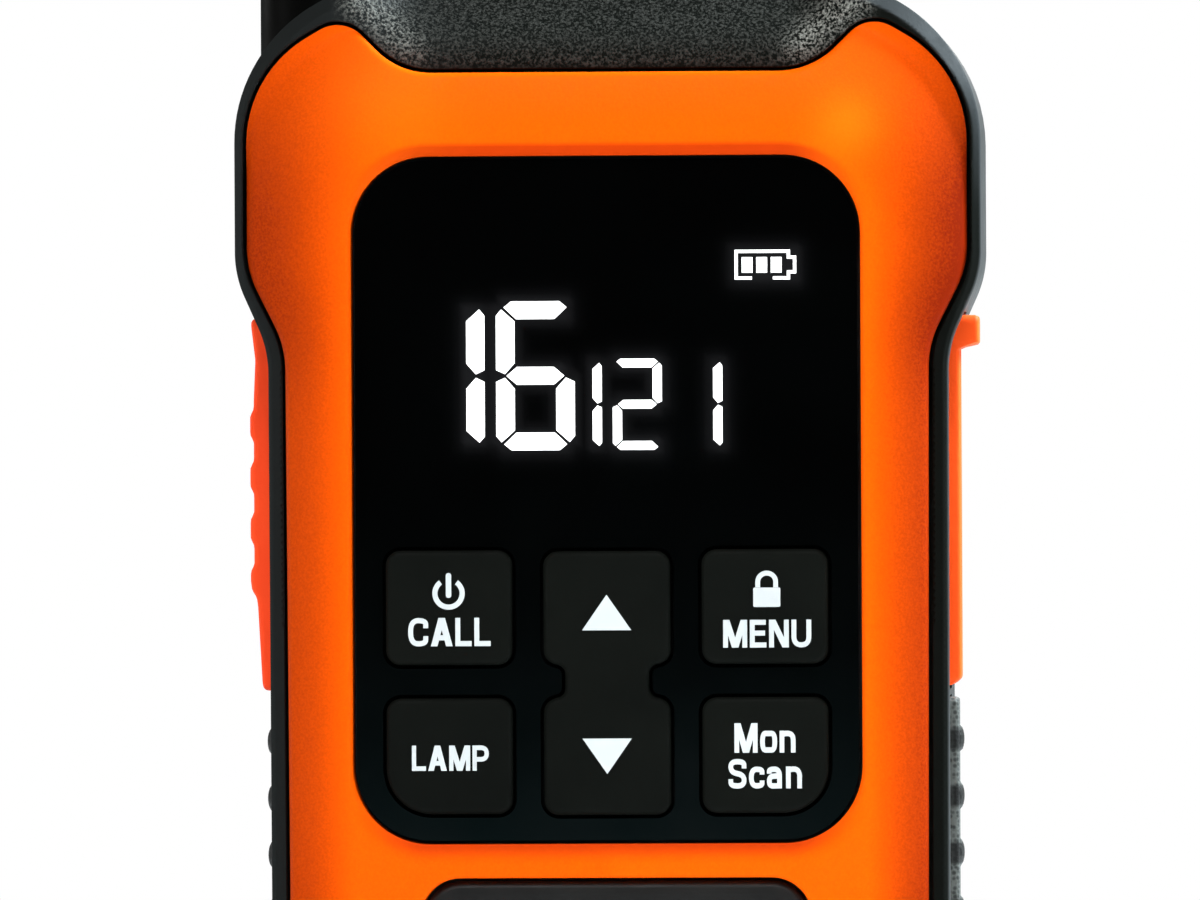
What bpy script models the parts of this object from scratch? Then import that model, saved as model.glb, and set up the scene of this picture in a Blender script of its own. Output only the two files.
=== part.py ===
"""A waterproof handheld two-way radio, built from its separate pieces.

The radio stands on its flat base: +Z is up, the front faces -Y and +X is to a viewer's right.
The origin is the centre of the base, on the underside of the rear housing.
All sizes below are in millimetres; make_object turns them into metres.
"""
import math

import bmesh
import bpy
from mathutils import Matrix, Vector

MM = 0.001

# ---- driving dimensions -------------------------------------------------------------------
GAP = 0.3                    # clearance between neighbouring pieces
WALL = 2.4                   # housing wall
BODY_HEIGHT = 118.0
SHOULDER_HALF = 30.3         # half widths of the shell, shoulder, waist and base
WAIST_HALF = 27.6
BASE_HALF = 27.4
SHOULDER_LOW = 94.2          # where the shoulder ends and the waist begins
WAIST_TOP = 88.2
SHOULDER_RADIUS = 13.0
BASE_RADIUS = 8.0
WAIST_RADIUS = 9.0
CAVITY_DROP = 2.2            # extra material over the cavity at the top

# ---- depths, front to back ----------------------------------------------------------------
BEZEL_FRONT = -18.0
KEY_FRONT = -17.9
PANEL_FRONT = -17.1
RIM_FRONT = -15.2            # front edge of the black frame round the bezel
PANEL_BACK = -14.3
FLOOR_FRONT = -14.0
FLOOR_BACK = -12.4
BOARD_FRONT = -9.9
BOARD_BACK = -8.6
SPLIT = -8.0                 # parting line between the two housings
BAY_CAVITY = 1.2             # inner face of the wall behind the battery
BAY_BACK = 3.0
BATTERY_FRONT = BAY_BACK + GAP
BACK = 16.0                  # back of the body

# ---- front panel --------------------------------------------------------------------------
PANEL_HALF = 20.7            # opening in the bezel for the display and key panel
PANEL_LOW = 47.95
PANEL_HIGH = 103.8
PANEL_RADIUS = 6.3
KEY_IN = 7.7                 # inner and outer edge of the side keys, from the centre line
KEY_OUT = 17.95
UPPER_KEYS = (62.5, 71.8)    # height of the lower and upper edge of each row
LOWER_KEYS = (50.4, 59.8)
KEY_RADIUS = 1.2
KEY_CORNER = 3.7             # outer low corner, which follows the panel's corner
KEY_TRAVEL = 0.5
KEY_FLANGE = 0.8             # lip that keeps a key behind the panel
STEM_BACK = -11.9
STEM_RADIUS = 1.6
ROCKER_HALF = 5.15
ROCKER_NECK = 3.4
ROCKER_LOW = 50.3
ROCKER_HIGH = 71.7
NECK_LOW = 59.8
NECK_HIGH = 62.5
ROCKER_PIVOT = (-15.6, (ROCKER_LOW + ROCKER_HIGH) / 2)
ROCKER_STEM = 5.7            # distance of each stem from the pivot
LCD_HALF = 18.8
LCD_LOW = 76.9
LCD_HIGH = 101.1

# ---- speaker ------------------------------------------------------------------------------
GRILLE_X = 0.65              # the plate sits a little towards the cover side
GRILLE_HALF = 15.6
GRILLE_LOW = 12.6
GRILLE_HIGH = 44.9
GRILLE_RADIUS = 3.0
GRILLE_FRONT = -17.4
GRILLE_BACK = -15.2
SPEAKER_Z = 27.5
SPEAKER_RADIUS = 13.4
SLOT_COUNT = 7
SLOT_PITCH = 3.2
SLOT_HEIGHT = 1.3
MIC_Z = 8.3

# ---- sides --------------------------------------------------------------------------------
SIDE_FRONT = -6.2            # push-to-talk button and socket cover, front and back edge
SIDE_BACK = 0.8
PTT_LOW = 60.3
PTT_HIGH = 90.8
PTT_TRAVEL = 1.0
PTT_LINE = ((PTT_LOW, 28.8), (67.2, 29.17), (69.2, 29.45), (84.0, 29.45), (87.4, 29.3),
            (PTT_HIGH, 29.7))    # height and reach of the face, without its ridges
PTT_RIDGE = 0.3              # height of the finger ridges
PTT_RIDGE_LOW = 69.3         # centre of the lowest of the four ridges
PTT_RIDGE_PITCH = 4.25
PTT_RIDGE_COUNT = 4
PTT_CENTRE = 75.6
PTT_INNER = 23.9
PTT_FLANGE = (23.5, 24.2)
COVER_LOW = 60.5
COVER_HIGH = 88.0
COVER_IN = 26.7
COVER_OUT = 28.45
TAB_OUT = 30.0
TAB_HIGH = 90.8
COVER_HINGE = ((COVER_IN + COVER_OUT) / 2, COVER_LOW + (COVER_OUT - COVER_IN) / 2)
USB_Z = 68.5
JACK_Z = 81.5
GRIP_LOW = 14.0
GRIP_HIGH = 59.2
GRIP_FIRST = 56.1            # centre of the top rib; the others follow at GRIP_PITCH
GRIP_PITCH = 4.66
GRIP_RIBS = 9
GRIP_STEP = 0.7              # height of the strip above the shell, and of its ribs above it
GRIP_PROUD = 0.4

# ---- top ----------------------------------------------------------------------------------
ANTENNA_X = -25.9
ANTENNA_Y = 5.6
ANTENNA_LOW = 104.0
ANTENNA_TOP = 175.0
ANTENNA_RADIUS = 3.6
ANTENNA_TIP = 2.9
TORCH_Y = 4.0
TORCH_RADIUS = 4.6

# ---- back ---------------------------------------------------------------------------------
BATTERY_TOP = 82.0
POSTS = ((-22.2, 12.0), (22.2, 12.0), (-23.0, 94.5), (23.0, 94.5))
POST_RADIUS = 2.9
SCREW_RADIUS = 1.1
HEAD_RADIUS = 2.1
SCREW_BORE = SCREW_RADIUS + 0.25
HEAD_BORE = HEAD_RADIUS + GAP
HEAD_SEAT = BAY_BACK - 1.65
PIN_Y = 20.9
PIN_Z = 72.0
PIN_RADIUS = 1.0
PIN_BORE = PIN_RADIUS + GAP
EAR_IN = 9.0
EAR_OUT = 11.0
CLIP_HALF = EAR_IN - GAP
SPRING_WINDOW = 5.9
LOCK_Z = 7.2
LOCK_RADIUS = 4.2
CONTACT_X = 5.0
CONTACT_Z = (73.0, 78.0)


# ---- outlines -----------------------------------------------------------------------------
def rounded(corners, steps=6):
    """Closed outline through (u, v, radius) corners, each rounded by a tangent arc."""
    outline = []
    for index, (u, v, radius) in enumerate(corners):
        corner = Vector((u, v))
        before = (Vector(corners[index - 1][:2]) - corner).normalized()
        after = (Vector(corners[(index + 1) % len(corners)][:2]) - corner).normalized()
        half = before.angle(after) / 2
        if radius <= 0:
            outline.append(corner)
            continue
        start = corner + before * (radius / math.tan(half))
        centre = corner + (before + after).normalized() * (radius / math.sin(half))
        arm = start - centre
        turn = math.pi - 2 * half
        side = 1 if before.x * after.y - before.y * after.x < 0 else -1
        for step in range(steps + 1):
            angle = side * turn * step / steps
            cosine, sine = math.cos(angle), math.sin(angle)
            outline.append(centre + Vector((arm.x * cosine - arm.y * sine,
                                            arm.x * sine + arm.y * cosine)))
    return outline


def offset(corners, inward):
    """The same anticlockwise corners moved inward, with their radii kept concentric."""
    moved = []
    for index, (u, v, radius) in enumerate(corners):
        corner = Vector((u, v))
        into = (corner - Vector(corners[index - 1][:2])).normalized()
        out = (Vector(corners[(index + 1) % len(corners)][:2]) - corner).normalized()
        normal_in, normal_out = Vector((-into.y, into.x)), Vector((-out.y, out.x))
        shift = (normal_in + normal_out) * (inward / (1 + normal_in.dot(normal_out)))
        convex = into.x * out.y - into.y * out.x > 0
        new_radius = radius - inward if convex else radius + inward
        moved.append((u + shift.x, v + shift.y, max(new_radius, 0.05) if radius > 0 else 0))
    return moved


def both_sides(half):
    """Corners of a shape that is the same left and right, from its right half, low to high."""
    return list(half) + [(-u, v, radius) for u, v, radius in reversed(half)]


def box_corners(low_u, high_u, low_v, high_v, radius):
    return [(low_u, low_v, radius), (high_u, low_v, radius),
            (high_u, high_v, radius), (low_u, high_v, radius)]


def shell_corners(top=BODY_HEIGHT):
    return both_sides([(BASE_HALF, 0, BASE_RADIUS),
                       (WAIST_HALF, WAIST_TOP, WAIST_RADIUS),
                       (SHOULDER_HALF, SHOULDER_LOW, WAIST_RADIUS),
                       (SHOULDER_HALF, top, SHOULDER_RADIUS)])


def bezel_corners():
    """The orange face plate, with a wide notch in its top edge."""
    return both_sides([(25.75, 3.0, 7.0), (26.15, 88.4, 8.0), (29.3, 94.6, 8.0),
                       (29.3, 110.68, 10.0), (21.4, 115.3, 2.8), (16.8, 110.6, 6.5)])


def panel_corners():
    return box_corners(-PANEL_HALF, PANEL_HALF, PANEL_LOW, PANEL_HIGH, PANEL_RADIUS)


def grille_corners():
    return box_corners(GRILLE_X - GRILLE_HALF, GRILLE_X + GRILLE_HALF, GRILLE_LOW,
                       GRILLE_HIGH, GRILLE_RADIUS)


def key_corners(side, row):
    """A square key; side is -1 or 1, and the lower row has one large outer corner."""
    low, high = row
    outer = KEY_CORNER if row is LOWER_KEYS else KEY_RADIUS
    inner_u, outer_u = side * KEY_IN, side * KEY_OUT
    left, right = min(inner_u, outer_u), max(inner_u, outer_u)
    left_radius = outer if side < 0 else KEY_RADIUS
    right_radius = outer if side > 0 else KEY_RADIUS
    return [(left, low, left_radius), (right, low, right_radius),
            (right, high, KEY_RADIUS), (left, high, KEY_RADIUS)]


def rocker_corners():
    return both_sides([(ROCKER_HALF, ROCKER_LOW, KEY_RADIUS),
                       (ROCKER_HALF, NECK_LOW, KEY_RADIUS),
                       (ROCKER_NECK, NECK_LOW, 0.8),
                       (ROCKER_NECK, NECK_HIGH, 0.8),
                       (ROCKER_HALF, NECK_HIGH, KEY_RADIUS),
                       (ROCKER_HALF, ROCKER_HIGH, KEY_RADIUS)])


# ---- mesh tools ---------------------------------------------------------------------------
PLANES = {"Y": lambda u, v, depth: Vector((u, depth, v)),
          "X": lambda u, v, depth: Vector((depth, u, v)),
          "Z": lambda u, v, depth: Vector((u, v, depth))}


def loft(sections, axis="Y"):
    """Closed solid through outlines of equal length, each at its own depth along the axis."""
    place = PLANES[axis]
    mesh = bmesh.new()
    rings = [[mesh.verts.new(place(u, v, depth)) for u, v in outline]
             for outline, depth in sections]
    for first, second in zip(rings, rings[1:]):
        for index in range(len(first)):
            after = (index + 1) % len(first)
            mesh.faces.new((first[index], first[after], second[after], second[index]))
    mesh.faces.new(rings[0])
    mesh.faces.new(rings[-1])
    bmesh.ops.recalc_face_normals(mesh, faces=mesh.faces)
    return mesh


def prism(corners, low, high, axis="Y", steps=6):
    outline = rounded(corners, steps)
    return loft([(outline, low), (outline, high)], axis)


def turned(profile, centre, axis="Y", steps=20):
    """Solid of revolution of a closed (radius, depth) profile about an axis through centre."""
    place = PLANES[axis]
    mesh = bmesh.new()
    rings = []
    for radius, depth in profile:
        if radius == 0:
            rings.append([mesh.verts.new(place(centre[0], centre[1], depth))])
            continue
        rings.append([mesh.verts.new(place(centre[0] + radius * math.cos(math.tau * k / steps),
                                           centre[1] + radius * math.sin(math.tau * k / steps),
                                           depth)) for k in range(steps)])
    closed = len(rings[0]) > 1
    pairs = list(zip(rings, rings[1:])) + ([(rings[-1], rings[0])] if closed else [])
    for first, second in pairs:
        for k in range(steps):
            after = (k + 1) % steps
            corners = [first[k % len(first)], first[after % len(first)],
                       second[after % len(second)], second[k % len(second)]]
            corners = list(dict.fromkeys(corners))
            if len(corners) > 2:
                mesh.faces.new(corners)
    bmesh.ops.recalc_face_normals(mesh, faces=mesh.faces)
    return mesh


def cylinder(centre, radius, low, high, axis="Y", steps=16):
    return turned([(0, low), (radius, low), (radius, high), (0, high)], centre, axis, steps)


def block(low, high):
    """Plain box between two corners."""
    corners = box_corners(low[0], high[0], low[2], high[2], 0)
    return prism(corners, low[1], high[1])


def tube(points, radius, sides=8):
    """Round wire with flat ends along a list of points."""
    mesh = bmesh.new()
    points = [Vector(point) for point in points]
    normal = Vector((1, 0, 0))
    rings = []
    for index, point in enumerate(points):
        ahead = points[min(index + 1, len(points) - 1)] - points[max(index - 1, 0)]
        tangent = ahead.normalized()
        normal = (normal - tangent * normal.dot(tangent)).normalized()
        side = tangent.cross(normal)
        rings.append([mesh.verts.new(point + (normal * math.cos(math.tau * k / sides)
                                              + side * math.sin(math.tau * k / sides)) * radius)
                      for k in range(sides)])
    for first, second in zip(rings, rings[1:]):
        for k in range(sides):
            after = (k + 1) % sides
            mesh.faces.new((first[k], first[after], second[after], second[k]))
    mesh.faces.new(rings[0])
    mesh.faces.new(rings[-1])
    bmesh.ops.recalc_face_normals(mesh, faces=mesh.faces)
    return mesh


# ---- objects ------------------------------------------------------------------------------
def clear_scene():
    for item in list(bpy.data.objects):
        bpy.data.objects.remove(item, do_unlink=True)


def finish_for(name, colour, roughness, metallic):
    material = bpy.data.materials.new(name + "_finish")
    material.use_nodes = True
    shader = material.node_tree.nodes["Principled BSDF"]
    shader.inputs["Base Color"].default_value = (*colour, 1.0)
    shader.inputs["Roughness"].default_value = roughness
    shader.inputs["Metallic"].default_value = metallic
    return material


BLACK_PLASTIC = ((0.012, 0.013, 0.014), 0.5, 0.0)
CHARCOAL = ((0.03, 0.028, 0.028), 0.45, 0.0)
ORANGE_PLASTIC = ((0.85, 0.13, 0.005), 0.4, 0.0)
ORANGE_RUBBER = ((0.9, 0.08, 0.02), 0.6, 0.0)
BLACK_RUBBER = ((0.015, 0.015, 0.015), 0.75, 0.0)
GLOSS_BLACK = ((0.002, 0.002, 0.003), 0.06, 0.0)
GREEN_BOARD = ((0.01, 0.09, 0.035), 0.45, 0.0)
STEEL = ((0.55, 0.55, 0.56), 0.3, 1.0)
BRASS = ((0.8, 0.58, 0.24), 0.3, 1.0)
CLEAR_LENS = ((0.85, 0.9, 0.95), 0.05, 0.0)
WHITE_PLASTIC = ((0.8, 0.8, 0.8), 0.4, 0.0)


def make_object(name, mesh, finish, origin=(0, 0, 0), parent=None):
    """Named object in metres whose own origin is at the given point in millimetres."""
    bmesh.ops.translate(mesh, verts=mesh.verts, vec=-Vector(origin))
    bmesh.ops.scale(mesh, verts=mesh.verts, vec=(MM, MM, MM))
    data = bpy.data.meshes.new(name)
    mesh.to_mesh(data)
    mesh.free()
    data.materials.append(finish_for(name, *finish))
    data.shade_smooth()
    data.set_sharp_from_angle(angle=math.radians(35))
    item = bpy.data.objects.new(name, data)
    bpy.context.scene.collection.objects.link(item)
    place(item, origin, parent)
    return item


def place(item, origin, parent):
    item.location = Vector(origin) * MM
    if parent is not None:
        item.parent = parent
        item.location -= parent.matrix_world.translation


def shape_with(item, meshes, operation="DIFFERENCE"):
    """Cut the given shapes from an object, or join them to it, with Boolean modifiers."""
    for count, mesh in enumerate(meshes):
        name = f"{item.name}_{operation.lower()}_{len(item.modifiers)}_{count}"
        tool = make_object(name, mesh, BLACK_PLASTIC)
        tool.hide_render = True
        tool.display_type = "WIRE"
        modifier = item.modifiers.new(name, "BOOLEAN")
        modifier.operation = operation
        modifier.object = tool
        modifier.solver = "EXACT"


def empty_at(name, origin, parent=None):
    """Pivot or slide point that carries a moving group."""
    item = bpy.data.objects.new(name, None)
    bpy.context.scene.collection.objects.link(item)
    place(item, origin, parent)
    bpy.context.view_layer.update()
    return item


# ---- housings -----------------------------------------------------------------------------
def rounded_shell(front_edge):
    """Outer form of a housing: (inset, depth) pairs give its rounded edge."""
    return loft([(rounded(offset(shell_corners(), inset)), depth)
                 for inset, depth in front_edge])


def cavity(low, high, top=BODY_HEIGHT - CAVITY_DROP):
    return prism(offset(shell_corners(top), WALL), low, high)


def build_front_housing():
    housing = make_object("front_housing", rounded_shell(
        [(0.95, RIM_FRONT), (0.4, RIM_FRONT + 0.25), (0, RIM_FRONT + 0.9), (0, SPLIT)]),
        BLACK_PLASTIC)
    slope = loft([([Vector((RIM_FRONT - 1, 111.0)), Vector((-10.9, 119.0)),
                    Vector((RIM_FRONT - 1, 119.0))], x) for x in (-19.8, 19.8)], "X")
    shape_with(housing, [
        prism(offset(bezel_corners(), -GAP), RIM_FRONT - 1, FLOOR_FRONT),
        slope,
        cavity(FLOOR_BACK, SPLIT + 1)])
    shape_with(housing, [cylinder(post, POST_RADIUS, FLOOR_BACK - 0.5, SPLIT) for post in POSTS],
               "UNION")
    shape_with(housing, [
        prism(box_corners(-19.2, 19.2, 49.3, 73.8, 1.5), FLOOR_FRONT - 1, FLOOR_BACK + 1),
        prism(box_corners(-19.2, 19.2, LCD_LOW - 0.4, LCD_HIGH + 0.4, 1.0),
              FLOOR_FRONT - 1, FLOOR_BACK + 1),
        cylinder((0, SPEAKER_Z), SPEAKER_RADIUS + 0.4, FLOOR_FRONT - 1, FLOOR_BACK + 1,
                 steps=32),
        cylinder((0, MIC_Z), 0.8, FLOOR_FRONT - 1, FLOOR_BACK + 1, steps=10),
        *[cylinder(post, SCREW_BORE, SPLIT - 3.6, SPLIT + 1) for post in POSTS]])
    shape_with(housing, [seal_ring(0.5, 1.9, SPLIT - 1.0, SPLIT + 1)])


def seal_ring(outer, inner, low, high):
    """Ring that follows the parting line between two insets of the shell."""
    rings = [(rounded(offset(shell_corners(), inset)), depth)
             for inset, depth in ((outer, low), (outer, high), (inner, high), (inner, low))]
    mesh = bmesh.new()
    loops = [[mesh.verts.new((u, depth, v)) for u, v in outline] for outline, depth in rings]
    for index, first in enumerate(loops):
        second = loops[(index + 1) % len(loops)]
        for k in range(len(first)):
            after = (k + 1) % len(first)
            mesh.faces.new((first[k], first[after], second[after], second[k]))
    bmesh.ops.recalc_face_normals(mesh, faces=mesh.faces)
    return mesh


def build_seal():
    make_object("housing_seal", seal_ring(0.8, 1.6, SPLIT - 0.7, SPLIT), BLACK_RUBBER)


def build_bezel():
    plate = make_object("front_bezel", loft(
        [(rounded(offset(bezel_corners(), inset)), depth) for inset, depth in (
            (1.9, BEZEL_FRONT), (1.1, BEZEL_FRONT + 0.3), (0.4, BEZEL_FRONT + 1.1),
            (0, BEZEL_FRONT + 2.4), (0, FLOOR_FRONT - GAP))]), ORANGE_PLASTIC)
    shape_with(plate, [
        prism(panel_corners(), BEZEL_FRONT - 1, FLOOR_FRONT + 1),
        prism(offset(grille_corners(), -GAP), BEZEL_FRONT - 1, FLOOR_FRONT + 1),
        cylinder((0, MIC_Z), 0.8, BEZEL_FRONT - 1, FLOOR_FRONT + 1, steps=10)])


def stepped_hole(centre, narrow, wide):
    """Cutter from above the body down to two (radius, lowest height) steps."""
    above = BODY_HEIGHT + 7
    return turned([(0, narrow[1]), narrow, (narrow[0], wide[1]), wide, (wide[0], above),
                   (0, above)], centre, "Z", 24)


def build_rear_housing():
    housing = make_object("rear_housing", rounded_shell(
        [(0.3, SPLIT + GAP), (0, SPLIT + 0.6 + GAP), (0, BACK - 4.0), (0.9, BACK - 1.7),
         (2.4, BACK - 0.4), (3.2, BACK)]), BLACK_PLASTIC)
    shape_with(housing, [block((-40, BAY_BACK, -5), (40, BACK + 5, BATTERY_TOP + GAP)),
                         cavity(SPLIT - 1, BAY_CAVITY),
                         prism(box_corners(-18.0, 25.0, 85.0, 112.6, 6.0), -1.0, 12.4)])
    shape_with(housing, [
        *[cylinder(post, POST_RADIUS, SPLIT + GAP, BAY_CAVITY + 0.5 if post[1] < BATTERY_TOP
                   else 13.0) for post in POSTS],
        cylinder((0, TORCH_Y), TORCH_RADIUS + 1.9, 108.6, 114.0, "Z", 24)], "UNION")
    side_low, side_high = SIDE_FRONT - GAP, SIDE_BACK + GAP
    shape_with(housing, [
        *[turned([(0, SPLIT - 1), (SCREW_BORE, SPLIT - 1), (SCREW_BORE, HEAD_SEAT),
                  (HEAD_BORE, HEAD_SEAT), (HEAD_BORE, BACK + 1), (0, BACK + 1)], post, steps=16)
          for post in POSTS],
        stepped_hole((ANTENNA_X, ANTENNA_Y), (1.9, 97.2), (ANTENNA_RADIUS + GAP,
                                                           ANTENNA_LOW - GAP)),
        stepped_hole((0, TORCH_Y), (2.2, 105.0), (TORCH_RADIUS + GAP, 109.6)),
        block((-40, side_low, PTT_LOW - GAP), (-23.5, side_high, PTT_HIGH + GAP)),
        block((COVER_IN - GAP, side_low, COVER_LOW - GAP), (40, side_high, TAB_HIGH + GAP)),
        block((22.0, -6.1, USB_Z - 4.8), (30, -2.3, USB_Z + 4.8)),
        cylinder((-3.9, JACK_Z), 3.3, 22.0, 30.0, "X"),
        block((25.6, -5.7, GRIP_LOW - GAP), (40, 0.3, GRIP_HIGH + GAP)),
        block((-40, -5.7, GRIP_LOW - GAP), (-25.6, 0.3, GRIP_HIGH + GAP)),
        *[block((side * CONTACT_X - 1.8, 0, CONTACT_Z[0] - GAP),
                (side * CONTACT_X + 1.8, BACK, CONTACT_Z[1] + GAP)) for side in (-1, 1)],
        cylinder((0, LOCK_Z), 1.9, 0, BACK)])


# ---- display and keys ---------------------------------------------------------------------
def build_panel():
    panel = make_object("display_lens", prism(offset(panel_corners(), GAP),
                                              PANEL_FRONT, PANEL_BACK), GLOSS_BLACK)
    openings = [offset(key_corners(side, row), -GAP)
                for side in (-1, 1) for row in (UPPER_KEYS, LOWER_KEYS)]
    openings.append(offset(rocker_corners(), -GAP))
    shape_with(panel, [prism(opening, PANEL_FRONT - 1, PANEL_BACK + 1, steps=3)
                       for opening in openings])


def build_display():
    make_object("lcd_module", prism(box_corners(-LCD_HALF, LCD_HALF, LCD_LOW, LCD_HIGH, 0.6),
                                    FLOOR_FRONT, FLOOR_BACK + 0.2, steps=2), GLOSS_BLACK)
    make_object("lcd_backlight", prism(box_corners(-LCD_HALF, LCD_HALF, LCD_LOW, LCD_HIGH, 0.6),
                                       FLOOR_BACK + 0.5, BOARD_FRONT - GAP, steps=2),
                WHITE_PLASTIC)


def crowned_cap(corners, flange, steps=3):
    """Key cap with a softened front edge and, where flange is true, a lip at its back."""
    front = [(rounded(offset(corners, inset), steps), depth) for inset, depth in (
        (0.7, KEY_FRONT), (0.2, KEY_FRONT + 0.2), (0, KEY_FRONT + 0.6))]
    if not flange:
        return loft(front + [(rounded(corners, steps), FLOOR_FRONT)])
    lip = rounded(offset(corners, -KEY_FLANGE), steps)
    return loft(front + [(rounded(corners, steps), FLOOR_FRONT), (lip, FLOOR_FRONT),
                         (lip, FLOOR_BACK - KEY_FLANGE)])


def key_centre(side, row):
    return side * (KEY_IN + KEY_OUT) / 2, (row[0] + row[1]) / 2


KEYS = {"call": (-1, UPPER_KEYS), "menu": (1, UPPER_KEYS),
        "lamp": (-1, LOWER_KEYS), "scan": (1, LOWER_KEYS)}


def build_keys():
    for name, (side, row) in KEYS.items():
        x, z = key_centre(side, row)
        key = make_object(name + "_key", crowned_cap(key_corners(side, row), True),
                          BLACK_RUBBER, (x, KEY_FRONT, z))
        shape_with(key, [cylinder((x, z), STEM_RADIUS, FLOOR_FRONT + 0.3, STEM_BACK)], "UNION")
    pivot_y, pivot_z = ROCKER_PIVOT
    rocker = make_object("up_down_key", crowned_cap(rocker_corners(), False), BLACK_RUBBER,
                         (0, pivot_y, pivot_z))
    shape_with(rocker, [cylinder((0, pivot_z + side * ROCKER_STEM), STEM_RADIUS,
                                 FLOOR_FRONT - 0.5, STEM_BACK) for side in (-1, 1)], "UNION")


def switch_places():
    places = {name: key_centre(side, row) for name, (side, row) in KEYS.items()}
    places["up"] = (0, ROCKER_PIVOT[1] + ROCKER_STEM)
    places["down"] = (0, ROCKER_PIVOT[1] - ROCKER_STEM)
    return places


def build_switches():
    """Tactile switches on the board, one behind each key."""
    half, front = 2.6, STEM_BACK + 0.55
    for name, (x, z) in switch_places().items():
        square = rounded(box_corners(x - half, x + half, z - half, z + half, half * 0.2), 2)
        plunger = rounded(box_corners(x - 1.4, x + 1.4, z - 1.4, z + 1.4, 1.0), 2)
        make_object(name + "_switch", loft([(plunger, front), (plunger, front + 0.4),
                                            (square, front + 0.4),
                                            (square, BOARD_FRONT - GAP)]), STEEL)


def build_mat():
    mat = make_object("keypad_mat", prism(box_corners(-20.3, 20.3, 48.6, 74.6, 1.5),
                                          FLOOR_BACK + 0.3, FLOOR_BACK + 0.9, steps=3),
                      BLACK_RUBBER)
    shape_with(mat, [cylinder(place_at, STEM_RADIUS + 0.5, FLOOR_BACK - 1, FLOOR_BACK + 2,
                              steps=12) for place_at in switch_places().values()])


# ---- electronics --------------------------------------------------------------------------
def build_board():
    outline = both_sides([(18.9, 5.0, 1.0), (18.9, 62.0, 0.5), (24.0, 62.0, 0.5),
                          (24.0, 89.0, 0.5), (18.9, 89.0, 0.5), (18.9, 111.0, 1.0)])
    make_object("main_board", prism(outline, BOARD_FRONT, BOARD_BACK, steps=2), GREEN_BOARD)
    make_object("rf_shield", prism(box_corners(-15.0, 12.0, 84.0, 108.0, 0.8),
                                   BOARD_BACK + GAP, BOARD_BACK + 3.4, steps=2), STEEL)


def build_speaker():
    rim, magnet = SPEAKER_RADIUS, 7.0
    make_object("speaker", turned([(0, -13.2), (3.2, -12.8), (4.2, -12.2), (rim - 2.4, -13.6),
                                   (rim - 1.2, FLOOR_FRONT), (rim, FLOOR_FRONT), (rim, -12.6),
                                   (magnet + 1.5, -11.6), (magnet, -11.6),
                                   (magnet, BOARD_FRONT - GAP), (0, BOARD_FRONT - GAP)],
                                  (0, SPEAKER_Z), steps=28), STEEL)
    make_object("speaker_screen", prism(box_corners(-14.4, 14.4, GRILLE_LOW + 1,
                                                    GRILLE_HIGH - 1, 2.0),
                                        GRILLE_BACK + GAP, FLOOR_FRONT - GAP, steps=3),
                BLACK_RUBBER)
    grille = make_object("speaker_grille", loft(
        [(rounded(offset(grille_corners(), inset)), depth) for inset, depth in (
            (0.5, GRILLE_FRONT), (0, GRILLE_FRONT + 0.5), (0, GRILLE_BACK))]), CHARCOAL)
    first = SPEAKER_Z - SLOT_PITCH * (SLOT_COUNT - 1) / 2
    slots = []
    for index in range(SLOT_COUNT):
        height = first + SLOT_PITCH * index
        half = math.sqrt((SPEAKER_RADIUS - 0.6) ** 2 - (height - SPEAKER_Z) ** 2)
        slots.append(prism(box_corners(GRILLE_X - half, GRILLE_X + half,
                                       height - SLOT_HEIGHT / 2, height + SLOT_HEIGHT / 2,
                                       SLOT_HEIGHT * 0.45),
                           GRILLE_FRONT - 1, GRILLE_BACK + 1, steps=3))
    shape_with(grille, slots)


def build_microphone():
    make_object("microphone", cylinder((0, MIC_Z), 2.5, FLOOR_BACK + GAP, BOARD_FRONT - GAP,
                                       steps=20), STEEL)


# ---- sides --------------------------------------------------------------------------------
def ptt_reach(z):
    """Distance of the button's face from the centre line at height z."""
    spans = [span for span in zip(PTT_LINE, PTT_LINE[1:]) if span[0][0] <= z]
    (low, near), (high, far) = spans[-1]
    face = near + (far - near) * (z - low) / (high - low)
    nearest = min(abs(z - PTT_RIDGE_LOW - PTT_RIDGE_PITCH * ridge)
                  for ridge in range(PTT_RIDGE_COUNT))
    flank = min(1.0, max(0.0, nearest / PTT_RIDGE_PITCH / 0.2 - 0.75))
    return face + PTT_RIDGE * (1 - flank * flank * (3 - 2 * flank))


def build_ptt():
    """Push-to-talk button: ridged rubber face, with a flange that stops it inside the wall."""
    steps = 84
    heights = [PTT_LOW + (PTT_HIGH - PTT_LOW) * step / steps for step in range(steps + 1)]
    face = [Vector((-ptt_reach(z), z)) for z in heights]
    profile = [Vector((-PTT_INNER, PTT_LOW)), *face, Vector((-PTT_INNER, PTT_HIGH))]
    button = make_object("ptt_button", loft([(profile, SIDE_FRONT), (profile, SIDE_BACK)]),
                         ORANGE_RUBBER, (-WAIST_HALF, (SIDE_FRONT + SIDE_BACK) / 2,
                                         PTT_CENTRE))
    flange_corners = box_corners(SIDE_FRONT - 0.9, SIDE_BACK, PTT_LOW - 0.9,
                                 PTT_HIGH - 3.5, 0.4)
    shape_with(button, [prism(flange_corners, -PTT_FLANGE[1], -PTT_FLANGE[0], "X", 2)],
               "UNION")
    switch = make_object("ptt_switch", block((-22.0, BOARD_BACK + GAP, PTT_CENTRE - 3.0),
                                             (-18.6, 0.0, PTT_CENTRE + 3.0)), BLACK_PLASTIC)
    shape_with(switch, [cylinder(((SIDE_FRONT + SIDE_BACK) / 2, PTT_CENTRE), 1.2, -22.3,
                                 -21.0, "X")], "UNION")


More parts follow.
